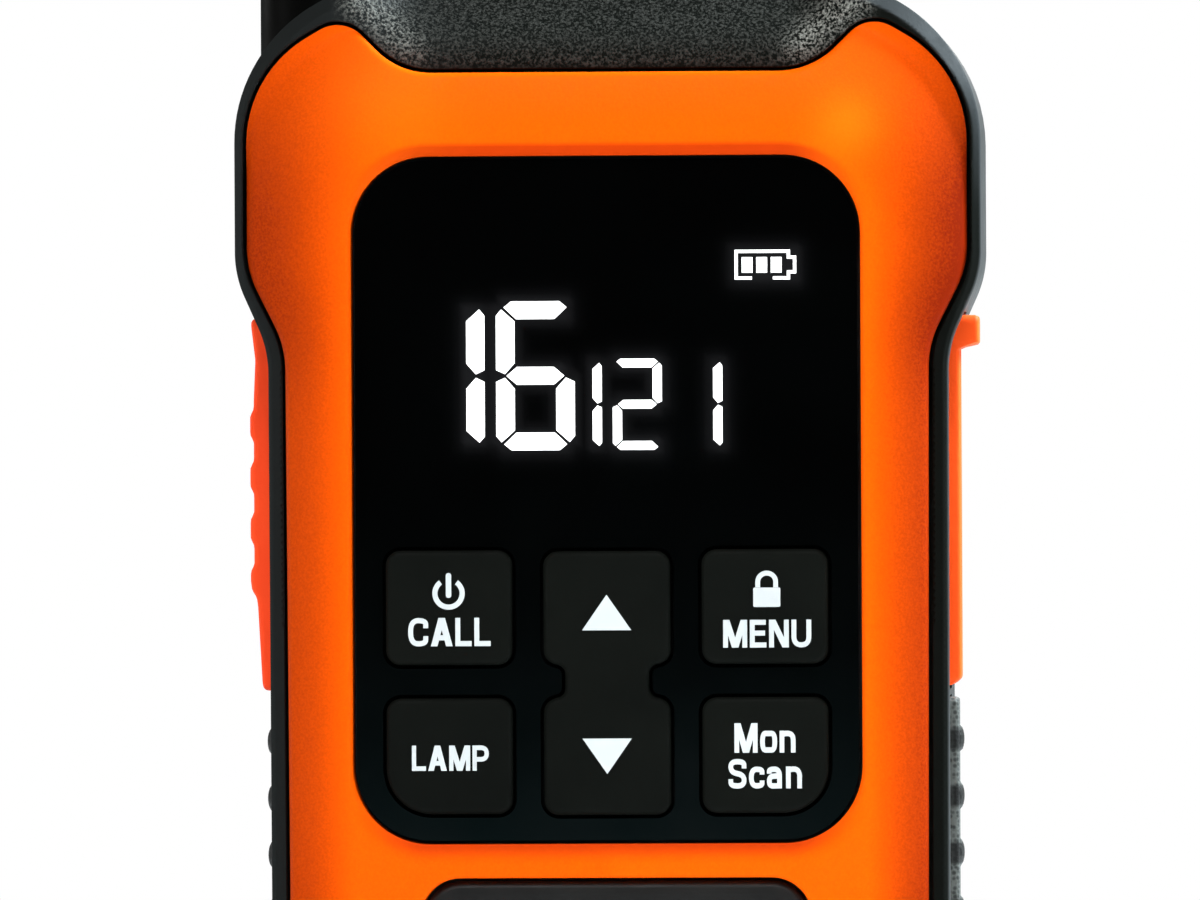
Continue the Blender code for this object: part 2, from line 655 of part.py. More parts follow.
def build_cover():
    """Rubber flap over the sockets, hinged at its lower end and pulled by the tab on top."""
    half = (COVER_OUT - COVER_IN) / 2
    hinge_x, hinge_z = COVER_HINGE
    hinge_end = [Vector((hinge_x + half * math.cos(math.pi * (1 + step / 6)),
                         hinge_z + half * math.sin(math.pi * (1 + step / 6))))
                 for step in range(7)]
    upper = [(COVER_OUT, COVER_HIGH - 0.6), (TAB_OUT - 0.5, COVER_HIGH + 0.3),
             (TAB_OUT, COVER_HIGH + 0.9), (TAB_OUT, TAB_HIGH - 0.7),
             (TAB_OUT - 0.7, TAB_HIGH), (COVER_IN, TAB_HIGH)]
    profile = hinge_end + [Vector(point) for point in upper]
    make_object("accessory_cover", loft([(profile, SIDE_FRONT), (profile, SIDE_BACK)]),
                ORANGE_RUBBER, (hinge_x, (SIDE_FRONT + SIDE_BACK) / 2, hinge_z))


def build_sockets():
    usb = make_object("usb_socket", prism(box_corners(-5.8, -2.6, USB_Z - 4.5, USB_Z + 4.5,
                                                      1.4), 19.4, 26.0, "X", 3), STEEL)
    shape_with(usb, [prism(box_corners(-5.4, -3.0, USB_Z - 4.1, USB_Z + 4.1, 1.1),
                           20.6, 27.0, "X", 3)])
    shape_with(usb, [block((20.0, -4.5, USB_Z - 3.2), (25.2, -3.9, USB_Z + 3.2)),
                     block((19.4, BOARD_BACK + GAP, USB_Z - 4.0), (21.6, -5.0, USB_Z + 4.0))],
               "UNION")
    jack = make_object("earpiece_jack", turned(
        [(0, 16.0), (3.0, 16.0), (3.0, 26.0), (1.75, 26.0), (1.75, 17.5), (0, 17.5)],
        (-3.9, JACK_Z), "X"), BLACK_PLASTIC)
    shape_with(jack, [block((16.5, BOARD_BACK + GAP, JACK_Z - 2.5),
                            (21.5, -5.8, JACK_Z + 2.5))], "UNION")


def grip_reach(z):
    """Distance of the grip's face from the centre line: a strip along the shell, with ribs."""
    shell = BASE_HALF + (WAIST_HALF - BASE_HALF) * z / WAIST_TOP
    nearest = min(abs(z - (GRIP_FIRST - GRIP_PITCH * rib)) for rib in range(GRIP_RIBS))
    return shell + GRIP_STEP + GRIP_PROUD * max(0.0, 1 - (nearest / 1.25) ** 2) ** 0.5


def build_grips():
    steps = 108
    heights = [GRIP_LOW + (GRIP_HIGH - GRIP_LOW) * step / steps for step in range(steps + 1)]
    for side, name in ((-1, "side_grip_left"), (1, "side_grip_right")):
        face = [Vector((side * grip_reach(z), z)) for z in heights]
        profile = [Vector((side * 25.9, GRIP_LOW)), *face, Vector((side * 25.9, GRIP_HIGH))]
        make_object(name, loft([(profile, -5.4), (profile, 0.0)]), BLACK_RUBBER)


# ---- top ----------------------------------------------------------------------------------
def build_antenna():
    """Rubber-covered antenna with a rounded tip and a slim brass stud below it."""
    sheath = [(0, ANTENNA_LOW), (ANTENNA_RADIUS, ANTENNA_LOW), (ANTENNA_RADIUS, 121.0),
              (ANTENNA_TIP + 0.3, 123.5), (ANTENNA_TIP, ANTENNA_TOP - 3.0)]
    sheath += [(ANTENNA_TIP * math.cos(math.pi / 2 * step / 5),
                ANTENNA_TOP - 2.6 * (1 - math.sin(math.pi / 2 * step / 5)))
               for step in range(1, 5)] + [(0, ANTENNA_TOP)]
    make_object("antenna", turned(sheath, (ANTENNA_X, ANTENNA_Y), "Z", 20), BLACK_RUBBER)
    make_object("antenna_stud", turned([(0, 97.5), (1.1, 97.5), (1.5, 98.2), (1.5, 103.5),
                                        (0, 103.5)], (ANTENNA_X, ANTENNA_Y), "Z", 12), BRASS)


def build_torch():
    centre = (0, TORCH_Y)
    make_object("torch_lens", turned([(0, 116.0), (TORCH_RADIUS, 116.0), (TORCH_RADIUS, 117.2),
                                      (TORCH_RADIUS - 0.5, 117.6), (0, 117.8)], centre, "Z",
                                     24), CLEAR_LENS)
    make_object("torch_reflector", turned([(1.7, 110.0), (TORCH_RADIUS, 110.0),
                                           (TORCH_RADIUS, 115.7), (TORCH_RADIUS - 0.4, 115.7),
                                           (3.4, 112.9), (1.7, 111.0)], centre, "Z", 24),
                STEEL)
    make_object("torch_led", turned([(0, 107.0), (1.3, 107.0), (1.3, 110.9), (0.8, 111.6),
                                     (0, 111.8)], centre, "Z", 12), WHITE_PLASTIC)


# ---- back ---------------------------------------------------------------------------------
def build_battery(battery_body):
    corners = both_sides([(BASE_HALF, 0, BASE_RADIUS), (WAIST_HALF - 0.06, BATTERY_TOP, 2.5)])
    pack = make_object("battery_pack", loft(
        [(rounded(offset(corners, inset)), depth) for inset, depth in (
            (0.3, BATTERY_FRONT), (0, BATTERY_FRONT + 0.5), (0, BACK - 4.0),
            (0.9, BACK - 1.7), (1.9, BACK - 0.5), (2.45, BACK))]), BLACK_PLASTIC,
        parent=battery_body)
    shape_with(pack, [
        *[cylinder((side * 5.5, PIN_Z - 6.8), SCREW_BORE, 11.0, BACK + 1)
          for side in (-1, 1)],
        cylinder((0, LOCK_Z), 1.9, BATTERY_FRONT - 1, BACK + 1),
        cylinder((0, LOCK_Z), LOCK_RADIUS + GAP, BACK - 2.1, BACK + 1, steps=24),
        *[block((side * CONTACT_X - 1.8, 0, CONTACT_Z[0] - GAP),
                (side * CONTACT_X + 1.8, BATTERY_FRONT + 1.2, CONTACT_Z[1] + GAP))
          for side in (-1, 1)]])
    for side, name in ((-1, "left"), (1, "right")):
        x = side * CONTACT_X
        make_object("battery_contact_" + name, block((x - 1.5, BAY_CAVITY - 0.4, CONTACT_Z[0]),
                                                     (x + 1.5, BAY_BACK - 0.1, CONTACT_Z[1])),
                    BRASS)
        make_object("battery_terminal_" + name,
                    block((x - 1.5, BATTERY_FRONT + 0.2, CONTACT_Z[0]),
                          (x + 1.5, BATTERY_FRONT + 0.9, CONTACT_Z[1])), BRASS,
                    parent=battery_body)


def build_lock(battery_body):
    """Quarter-turn lock: a slotted disc with a stem that reaches into the bay wall."""
    lock = make_object("battery_lock", turned(
        [(0, BAY_CAVITY + 0.6), (1.6, BAY_CAVITY + 0.6), (1.6, BACK - 1.8),
         (LOCK_RADIUS, BACK - 1.8), (LOCK_RADIUS, BACK + 0.2), (LOCK_RADIUS - 0.4, BACK + 0.5),
         (0, BACK + 0.5)], (0, LOCK_Z), steps=24), CHARCOAL, (0, BACK, LOCK_Z), battery_body)
    shape_with(lock, [block((-3.2, BACK - 0.6, LOCK_Z - 0.6), (3.2, BACK + 2, LOCK_Z + 0.6))])


def yz_prism(corners, low, high, steps=4):
    """Prism along X of a (y, z, radius) outline."""
    return prism(corners, low, high, "X", steps)


def build_clip(battery_body):
    base = make_object("clip_base", prism(box_corners(-EAR_OUT, EAR_OUT, PIN_Z - 10.5,
                                                      PIN_Z + 5.5, 1.5),
                                          BACK + GAP, BACK + 2.0, steps=3), BLACK_PLASTIC,
                       parent=battery_body)
    ear = [(BACK + 1.0, PIN_Z - 5.0, 0), (BACK + 2.5, PIN_Z - 5.0, 1.0),
           (PIN_Y + 2.2, PIN_Z - 2.6, 1.6), (PIN_Y + 2.2, PIN_Z + 2.6, 1.6),
           (BACK + 2.5, PIN_Z + 4.5, 1.0), (BACK + 1.0, PIN_Z + 4.5, 0)]
    shape_with(base, [yz_prism(ear, EAR_IN, EAR_OUT), yz_prism(ear, -EAR_OUT, -EAR_IN)],
               "UNION")
    screws = [(side * 5.5, PIN_Z - 6.8) for side in (-1, 1)]
    shape_with(base, [
        cylinder((PIN_Y, PIN_Z), PIN_BORE, -EAR_OUT - 1, EAR_OUT + 1, "X"),
        *[cylinder(point, SCREW_BORE, BACK, BACK + 3, steps=12) for point in screws],
        *[cylinder(point, HEAD_RADIUS, BACK + 1.2, BACK + 3) for point in screws]])
    for (x, z), name in zip(screws, ("left", "right")):
        make_object("clip_screw_" + name, turned(
            [(0, 11.4), (SCREW_RADIUS, 11.4), (SCREW_RADIUS, BACK + 1.5),
             (HEAD_RADIUS - 0.3, BACK + 1.5), (HEAD_RADIUS - 0.3, BACK + 1.9),
             (HEAD_RADIUS - 0.8, BACK + 2.2), (0, BACK + 2.2)], (x, z), steps=14), STEEL,
            parent=battery_body)
    make_object("clip_pin", cylinder((PIN_Y, PIN_Z), PIN_RADIUS, -EAR_OUT + 0.1,
                                     EAR_OUT - 0.1, "X"), STEEL, parent=battery_body)
    lever = [(22.3, 81.5, 0.5), (22.0, 76.5, 1.0), (18.9, 74.6, 1.2), (18.9, 69.4, 1.2),
             (21.9, 67.5, 1.0), (21.9, 28.0, 6.0), (17.6, 17.6, 3.0), (16.5, 15.4, 0.5),
             (18.2, 13.4, 1.0), (20.6, 16.0, 3.0), (23.7, 27.0, 6.0), (23.7, 76.5, 3.0),
             (24.1, 81.5, 0.7)]
    clip = make_object("belt_clip", yz_prism(lever, -CLIP_HALF, CLIP_HALF), BLACK_PLASTIC,
                       (0, PIN_Y, PIN_Z), battery_body)
    shape_with(clip, [
        cylinder((PIN_Y, PIN_Z), PIN_BORE, -EAR_OUT, EAR_OUT, "X"),
        block((-SPRING_WINDOW, BACK, PIN_Z - 3.1), (SPRING_WINDOW, BACK + 12, PIN_Z + 3.1))])


def build_clip_spring(battery_body):
    """Torsion spring round the pin: four turns, one leg down the base, one up the clip."""
    mean, wire, turns, per_turn = 2.0, 0.35, 4.5, 14
    start = -3.6
    coil = []
    total = int(turns * per_turn)
    for step in range(total + 1):
        angle = math.pi - math.tau * turns * step / total
        coil.append((start + 7.2 * step / total, PIN_Y + mean * math.cos(angle),
                     PIN_Z + mean * math.sin(angle)))
    first = [(start, PIN_Y - mean, PIN_Z - 5.0), (start, PIN_Y - mean, PIN_Z - 2.5)]
    last = [(-start, PIN_Y + mean, PIN_Z - 1.4), (-start, PIN_Y + mean, PIN_Z - 2.6)]
    make_object("clip_spring", tube(first + coil + last, wire, 6), STEEL, parent=battery_body)


def build_screws():
    """Four screws from the back that draw the two housings together."""
    profile = [(0, -11.3), (SCREW_RADIUS, -11.3), (SCREW_RADIUS, HEAD_SEAT + GAP),
               (HEAD_RADIUS, HEAD_SEAT + GAP), (HEAD_RADIUS, BAY_BACK - 0.6),
               (HEAD_RADIUS - 0.5, BAY_BACK - 0.2), (0, BAY_BACK - 0.2)]
    names = ("lower_left", "lower_right", "upper_left", "upper_right")
    for post, name in zip(POSTS, names):
        make_object("housing_screw_" + name, turned(profile, post, steps=14), STEEL,
                    (post[0], BAY_BACK, post[1]))


def build():
    clear_scene()
    build_front_housing()
    build_seal()
    build_bezel()
    build_rear_housing()
    build_panel()
    build_display()
    build_keys()
    build_switches()
    build_mat()
    build_board()
    build_speaker()
    build_microphone()
    build_ptt()
    build_cover()
    build_sockets()
    build_grips()
    build_antenna()
    build_torch()
    battery_body = empty_at("battery_slide", (0, BATTERY_FRONT, 0))
    build_battery(battery_body)
    build_lock(battery_body)
    build_clip(battery_body)
    build_clip_spring(battery_body)
    build_screws()


build()
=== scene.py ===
"""Looks of the handheld radio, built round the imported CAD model.

Lengths are millimetres unless a name ends in _m; mesh_from turns them into metres.
"""
import math

import bmesh
import bpy
import numpy as np
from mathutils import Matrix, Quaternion, Vector
from mathutils.geometry import delaunay_2d_cdt


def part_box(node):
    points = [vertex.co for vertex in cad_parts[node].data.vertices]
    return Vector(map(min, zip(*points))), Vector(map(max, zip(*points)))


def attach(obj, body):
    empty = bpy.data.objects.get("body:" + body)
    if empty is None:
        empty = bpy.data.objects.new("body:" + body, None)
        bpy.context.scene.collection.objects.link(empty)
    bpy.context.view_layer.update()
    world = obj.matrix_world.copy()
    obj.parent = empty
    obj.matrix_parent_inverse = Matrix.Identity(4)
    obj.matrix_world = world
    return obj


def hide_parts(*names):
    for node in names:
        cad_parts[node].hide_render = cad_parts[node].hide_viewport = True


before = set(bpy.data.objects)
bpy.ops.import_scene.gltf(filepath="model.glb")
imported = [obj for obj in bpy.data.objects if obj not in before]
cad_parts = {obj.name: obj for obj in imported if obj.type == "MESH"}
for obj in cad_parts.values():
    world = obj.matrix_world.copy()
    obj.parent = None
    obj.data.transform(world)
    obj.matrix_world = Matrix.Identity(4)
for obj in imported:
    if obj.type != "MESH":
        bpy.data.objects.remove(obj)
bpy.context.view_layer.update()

MM = 0.001
ARC_STEPS = 18               # segments in a large rounded corner


def box(node):
    """Lowest and highest corner of a CAD node, in millimetres."""
    low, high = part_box(node)
    return Vector(low) / MM, Vector(high) / MM


def middle(node):
    """Centre of a CAD node's box, in millimetres."""
    low, high = box(node)
    return (low + high) / 2


# ---- sizes read from the CAD frame ----------------------------------------------------------
HOUSING_LOW, HOUSING_HIGH = box("front_housing")
BEZEL_LOW, BEZEL_HIGH = box("front_bezel")
PANEL_LOW, PANEL_HIGH = box("display_lens")
GRILLE_LOW, GRILLE_HIGH = box("speaker_grille")
BATTERY_LOW, BATTERY_HIGH = box("battery_pack")
CONTACT_LOW, CONTACT_HIGH = box("battery_contact_right")
PTT_LOW, PTT_HIGH = box("ptt_button")
COVER_LOW, COVER_HIGH = box("accessory_cover")
GRIP_LOW, GRIP_HIGH = box("side_grip_right")
ANTENNA_LOW, ANTENNA_HIGH = box("antenna")
LCD_LOW, LCD_HIGH = box("lcd_module")
CLIP_HALF = box("belt_clip")[1].x
BACK = box("rear_housing")[1].y
PIN, LOCK, SPEAKER = middle("clip_pin"), middle("battery_lock"), middle("speaker")
SCREWS = ("housing_screw_lower_left", "housing_screw_lower_right",
          "housing_screw_upper_left", "housing_screw_upper_right")
CLIP_SCREWS = ("clip_screw_left", "clip_screw_right")
KEY_NODES = ("call_key", "menu_key", "lamp_key", "scan_key", "up_down_key")

GAP = 0.3                    # clearance round a part
WALL = 2.4                   # thickness of the rear shell
FAR = 40                     # beyond every flank of the body
SHOULDER_HALF = HOUSING_HIGH.x
BODY_HEIGHT = HOUSING_HIGH.z
RIM_FRONT = HOUSING_LOW.y
SPLIT = HOUSING_HIGH.y
BAY_BACK = BATTERY_LOW.y - GAP
BATTERY_TOP = BATTERY_HIGH.z
PANEL_FRONT, PANEL_BACK = PANEL_LOW.y, PANEL_HIGH.y
PANEL_CORNER = 6.3
BEZEL_FRONT = BEZEL_LOW.y
PLATE_HALF = BEZEL_HIGH.x
NOTCH_HALF = 16.8            # notch in the top edge of the face plate
NOTCH_FLOOR = BODY_HEIGHT - 7.4
GRILLE_CORNER = 3.0
WINDOW_HALF = 19.2           # windows behind the keys and the display
WAIST_HALF = SHOULDER_HALF - 2.7
BASE_HALF = SHOULDER_HALF - 2.9
SHOULDER_LOW = BODY_HEIGHT - 23.8
WAIST_TOP = BODY_HEIGHT - 29.8
BASE_CORNER, WAIST_CORNER, SHOULDER_CORNER = 8.0, 9.0, 13.0
ANTENNA_RADIUS = (ANTENNA_HIGH.x - ANTENNA_LOW.x) / 2
LOCK_BORE = 1.9
SCREW_BORE = 1.35
BACK_DROP = 3.6              # depth of the large round at the back edges
MICROPHONE_HOLE, MICROPHONE_RADIUS = (0, middle("microphone").z), 0.8
KEY_LIP = 0.8                # hidden rim round each key, behind the panel
KEY_CORNER = 1.2
PANEL_KEY_CORNER = 3.7       # corner of a lower key next to the corner of the panel
ROCKER_STEM = 5.7            # height of each of the rocker's stems from its middle
GRIP_RISE = 0.3              # the grips reach this far into the clearance above them
TOP_RIB, RIB_PITCH = 56.1, 4.66
PRINT_HEIGHT = 0.06


# ---- outlines -------------------------------------------------------------------------------
def rounded(corners, steps=ARC_STEPS):
    """Closed outline through (u, v, radius) corners, each rounded by a tangent arc."""
    outline = []
    for index, (u, v, radius) in enumerate(corners):
        corner = Vector((u, v))
        before = (Vector(corners[index - 1][:2]) - corner).normalized()
        after = (Vector(corners[(index + 1) % len(corners)][:2]) - corner).normalized()
        half = before.angle(after) / 2
        if radius <= 0:
            outline.append(corner)
            continue
        start = corner + before * (radius / math.tan(half))
        centre = corner + (before + after).normalized() * (radius / math.sin(half))
        arm = start - centre
        side = 1 if before.x * after.y - before.y * after.x < 0 else -1
        for step in range(steps + 1):
            angle = side * (math.pi - 2 * half) * step / steps
            cosine, sine = math.cos(angle), math.sin(angle)
            outline.append(centre + Vector((arm.x * cosine - arm.y * sine,
                                            arm.x * sine + arm.y * cosine)))
    return outline


def dense(outline, spacing):
    """The same closed outline with extra points along its long straight stretches."""
    filled = []
    for start, end in zip(outline, outline[1:] + outline[:1]):
        pieces = max(1, math.ceil((end - start).length / spacing))
        filled += [start.lerp(end, k / pieces) for k in range(pieces)]
    return filled


def offset(corners, inward):
    """The same anticlockwise corners moved inward, with their radii kept concentric."""
    moved = []
    for index, (u, v, radius) in enumerate(corners):
        corner = Vector((u, v))
        into = (corner - Vector(corners[index - 1][:2])).normalized()
        out = (Vector(corners[(index + 1) % len(corners)][:2]) - corner).normalized()
        normal_in, normal_out = Vector((-into.y, into.x)), Vector((-out.y, out.x))
        shift = (normal_in + normal_out) * (inward / (1 + normal_in.dot(normal_out)))
        convex = into.x * out.y - into.y * out.x > 0
        new_radius = radius - inward if convex else radius + inward
        moved.append((u + shift.x, v + shift.y, max(new_radius, 0.05) if radius > 0 else 0))
    return moved


def both_sides(half):
    return list(half) + [(-u, v, radius) for u, v, radius in reversed(half)]


def rectangle(low_u, high_u, low_v, high_v, radius):
    return [(low_u, low_v, radius), (high_u, low_v, radius),
            (high_u, high_v, radius), (low_u, high_v, radius)]


def anticlockwise(outline):
    """The same points or corners, turned anticlockwise if they ran the other way."""
    area = sum(a[0] * b[1] - b[0] * a[1] for a, b in zip(outline, outline[1:] + outline[:1]))
    return outline if area > 0 else outline[::-1]


def shell_corners(top=BODY_HEIGHT):
    """Outline of the black shell: rounded foot, waist and shoulders."""
    return both_sides([(BASE_HALF, 0, BASE_CORNER), (WAIST_HALF, WAIST_TOP, WAIST_CORNER),
                       (SHOULDER_HALF, SHOULDER_LOW, WAIST_CORNER),
                       (SHOULDER_HALF, top, SHOULDER_CORNER)])


def plate_flank():
    """Right edge of the face plate, from its foot up to its shoulder."""
    return [(PLATE_HALF - 3.55, BEZEL_LOW.z, 7.0), (PLATE_HALF - 3.15, WAIST_TOP + 0.2, 8.0),
            (PLATE_HALF, SHOULDER_LOW + 0.4, 8.0)]


def bezel_corners():
    """Outline of the face plate, with the notch in its top edge."""
    return both_sides(plate_flank() + [(PLATE_HALF, NOTCH_FLOOR + 0.08, 10.0),
                                       (NOTCH_HALF + 4.6, NOTCH_FLOOR + 4.7, 2.8),
                                       (NOTCH_HALF, NOTCH_FLOOR, 6.5)])


def crown_corners():
    """Outer limit of the face plate's crown: its outline without the notch."""
    return both_sides(plate_flank() + [(PLATE_HALF, BODY_HEIGHT - 1.8, 12.2)])


def panel_corners():
    """Opening in the face plate for the display panel."""
    return rectangle(PANEL_LOW.x - GAP, PANEL_HIGH.x + GAP, PANEL_LOW.z - GAP,
                     PANEL_HIGH.z + GAP, PANEL_CORNER)


def grille_corners():
    return rectangle(GRILLE_LOW.x, GRILLE_HIGH.x, GRILLE_LOW.z, GRILLE_HIGH.z, GRILLE_CORNER)


CROWN = [tuple(p) for p in rounded(crown_corners())]
(WELL_LEFT, WELL_BOTTOM, _), _, (WELL_RIGHT, WELL_TOP, _), _ = panel_corners()
WELL_MIDDLE = (WELL_TOP + WELL_BOTTOM) / 2
WELL_HALF_WIDTH = WELL_RIGHT - PANEL_CORNER
WELL_HALF_HEIGHT = (WELL_TOP - WELL_BOTTOM) / 2 - PANEL_CORNER
LEVEL_LOW = 9.0              # foot of the level middle of the face plate
LEVEL_AREA = [tuple(p) for p in rounded(rectangle(WELL_LEFT, WELL_RIGHT, LEVEL_LOW, WELL_TOP,
                                                  PANEL_CORNER))]
SCOOP_LOW, SCOOP_DEPTH = NOTCH_FLOOR + 1.6, 4.6


# ---- mesh tools -----------------------------------------------------------------------------
PLANES = {"Y": lambda u, v, depth: (u, depth, v),
          "X": lambda u, v, depth: (depth, u, v),
          "Z": lambda u, v, depth: (u, v, depth)}


def mesh_from(name, points, faces, attributes=()):
    """Closed mesh in metres with its faces turned outward."""
    data = bpy.data.meshes.new(name)
    data.from_pydata([tuple(c * MM for c in point) for point in points], [], faces)
    work = bmesh.new()
    work.from_mesh(data)
    bmesh.ops.recalc_face_normals(work, faces=work.faces)
    work.to_mesh(data)
    work.free()
    for label, values in attributes:
        store = data.attributes.new(label, "FLOAT", "POINT")
        store.data.foreach_set("value", np.asarray(values, dtype=np.float32))
    return data


def add_piece(name, data, material, body, replaces=(), sharp=38):
    data.materials.append(material)
    data.shade_smooth()
    data.set_sharp_from_angle(angle=math.radians(sharp))
    item = bpy.data.objects.new(name, data)
    bpy.context.scene.collection.objects.link(item)
    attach(item, body)
    if replaces:
        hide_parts(*replaces)
    return item


def distance_to(loop, points):
    """Distance of each point from a closed loop."""
    loop, points = np.array(loop), np.asarray(points)
    start, end = loop, np.roll(loop, -1, axis=0)
    best = np.full(len(points), 1e9)
    for a, b in zip(start, end):
        along = b - a
        length = max(float(along @ along), 1e-12)
        t = np.clip((points - a) @ along / length, 0, 1)
        gap = points - (a + t[:, None] * along)
        best = np.minimum(best, np.hypot(gap[:, 0], gap[:, 1]))
    return best


def inside(loop, points):
    """True for each point inside a closed loop."""
    points = np.asarray(points)
    state = np.zeros(len(points), dtype=bool)
    for a, b in zip(loop, loop[1:] + loop[:1]):
        crosses = (a[1] > points[:, 1]) != (b[1] > points[:, 1])
        rise = b[1] - a[1] if b[1] != a[1] else 1e-12
        state ^= crosses & (points[:, 0] < (b[0] - a[0]) * (points[:, 1] - a[1]) / rise + a[0])
    return state


def triangulate(loops, extra=(), joined=False):
    """Triangles inside the first loop and outside the others, or inside any loop if joined.

    Returns the points, the triangles and the track of points along each loop.
    """
    points, edges, spans = [], [], []
    for loop in loops:
        first = len(points)
        count = len(loop)
        points += [Vector(point) for point in loop]
        edges += [(first + k, first + (k + 1) % count) for k in range(count)]
        spans.append(range(first, first + count))
    points += [Vector(point) for point in extra]
    found, _, faces, origins, _, _ = delaunay_2d_cdt(points, edges, [], 0, 1e-6)
    found = np.array([(p.x, p.y) for p in found])
    faces = np.array([face for face in faces if len(face) == 3])
    centres = found[faces].mean(axis=1)
    within = [inside([tuple(p) for p in loop], centres) for loop in loops]
    keep = np.any(within, axis=0) if joined else within[0] & ~np.any(within[1:], axis=0)
    place = {old: new for new, olds in enumerate(origins) for old in olds}
    tracks = [list(dict.fromkeys(place[k] for k in span)) for span in spans]
    return found, faces[keep].tolist(), tracks


def slab(loops, extra, front_at, back, place):
    """Points and faces of a closed plate with a sculpted front and a flat back."""
    found, faces, tracks = triangulate(loops, extra)
    back_found, back_faces, back_tracks = triangulate(loops)
    first = len(found)
    points = [place(u, v, d) for (u, v), d in zip(found, front_at(found))]
    points += [place(u, v, back) for u, v in back_found]
    faces += [[first + k for k in face[::-1]] for face in back_faces]
    for track, back_track in zip(tracks, back_tracks):
        for k in range(len(track)):
            faces.append([track[k - 1], track[k], first + back_track[k],
                          first + back_track[k - 1]])
    return points, faces, found


def relief(name, corners, holes, depth_at, back, spacing=0.7,
           rings=(0.1, 0.25, 0.45, 0.75, 1.15, 1.65), axis="Y", steps=ARC_STEPS,
           attributes=None):
    """Closed plate with a sculpted face: depth_at(points, edge distances) gives its depth.

    Rings of points follow every edge, so that rounded edges are smooth, and a grid fills
    the rest. The back is flat.
    """
    shapes = [corners] + list(holes)
    loops = [dense(rounded(shape, steps), spacing) for shape in shapes]
    loops = [[tuple(p) for p in loop] for loop in loops]
    near = []
    for index, shape in enumerate(shapes):
        for ring in rings:
            moved = offset(shape, ring if index == 0 else -ring)
            near += [tuple(p) for p in dense(rounded(moved, steps), spacing)]
    near = np.array(near)
    low, high = np.min(loops[0], axis=0), np.max(loops[0], axis=0)
    grid = np.stack(np.meshgrid(np.arange(low[0], high[0], spacing),
                                np.arange(low[1], high[1], spacing)), -1).reshape(-1, 2)
    limit = rings[-1] + spacing * 0.6
    for index, loop in enumerate(loops):
        near = near[distance_to(loop, near) > rings[0] * 0.7]
        near = near[inside(loop, near) == (index == 0)]
        grid = grid[distance_to(loop, grid) > limit]
        grid = grid[inside(loop, grid) == (index == 0)]
    extra = [tuple(p) for p in near] + [tuple(p) for p in grid]

    def front_at(points):
        return depth_at(points, [distance_to(loop, points) for loop in loops])

    points, faces, found = slab(loops, extra, front_at, back, PLANES[axis])
    values = []
    for label, value_at in (attributes or {}).items():
        front = value_at(found, [distance_to(loop, found) for loop in loops])
        values.append((label, list(front) + [0.0] * (len(points) - len(found))))
    return mesh_from(name, points, faces, values)


def round_edge(distance, radius):
    """Drop of a quarter-round edge at a distance from the edge."""
    reach = np.clip(radius - distance, 0, radius)
    return radius - np.sqrt(np.maximum(radius ** 2 - reach ** 2, 0))


def smoothstep(low, high, value):
    t = np.clip((value - low) / (high - low), 0, 1)
    return t * t * (3 - 2 * t)


def bands(rings, count):
    """Faces between successive rings of points, and over both ends."""
    faces = [(ring * count + k, ring * count + (k + 1) % count,
              (ring + 1) * count + (k + 1) % count, (ring + 1) * count + k)
             for ring in range(rings - 1) for k in range(count)]
    last = (rings - 1) * count
    return faces + [tuple(range(count)), tuple(range(last, last + count))[::-1]]


def loft(name, sections, axis="Y"):
    """Closed solid through outlines of equal length, each at its own depth."""
    place = PLANES[axis]
    points = [place(u, v, depth) for outline, depth in sections for u, v in outline]
    return mesh_from(name, points, bands(len(sections), len(sections[0][0])))


def prism(name, corners, low, high, axis="Y", steps=6):
    outline = rounded(corners, steps)
    return loft(name, [(outline, low), (outline, high)], axis)


def turned(name, profile, centre, axis="Y", steps=48):
    """Solid of revolution of a closed (radius, depth) profile."""
    place = PLANES[axis]
    points, rings, faces = [], [], []
    for radius, depth in profile:
        count = 1 if radius == 0 else steps
        rings.append(range(len(points), len(points) + count))
        points += [place(centre[0] + radius * math.cos(math.tau * k / steps),
                         centre[1] + radius * math.sin(math.tau * k / steps), depth)
                   for k in range(count)]
    pairs = list(zip(rings, rings[1:]))
    if len(rings[0]) > 1:
        pairs.append((rings[-1], rings[0]))
    for first, second in pairs:
        for k in range(steps):
            after = (k + 1) % steps
            corners = list(dict.fromkeys([first[k % len(first)], first[after % len(first)],
                                          second[after % len(second)],
                                          second[k % len(second)]]))
            if len(corners) > 2:
                faces.append(tuple(corners))
    return mesh_from(name, points, faces)


def quarter(steps):
    """Angles of a quarter turn, from 0 to 90 degrees."""
    return [math.pi / 2 * step / steps for step in range(steps + 1)]


def arc_profile(radius, depth, fillet):
    """Quarter-round (radius, depth) points of a turned edge."""
    return [(radius - fillet * (1 - math.cos(a)), depth + fillet * math.sin(a))
            for a in quarter(6)]


def shell_sections(corners, front, inset):
    """Sections of a half shell: a small round at its front edge, a large one at its back."""
    small = 0.35
    rims = [(small * (1 - math.sin(a)), front + small * (1 - math.cos(a))) for a in quarter(4)]
    rims += [(inset * (1 - math.cos(a)), BACK - BACK_DROP * (1 - math.sin(a))) for a in quarter(9)]
    return [(rounded(offset(corners, inward)), depth) for inward, depth in rims]


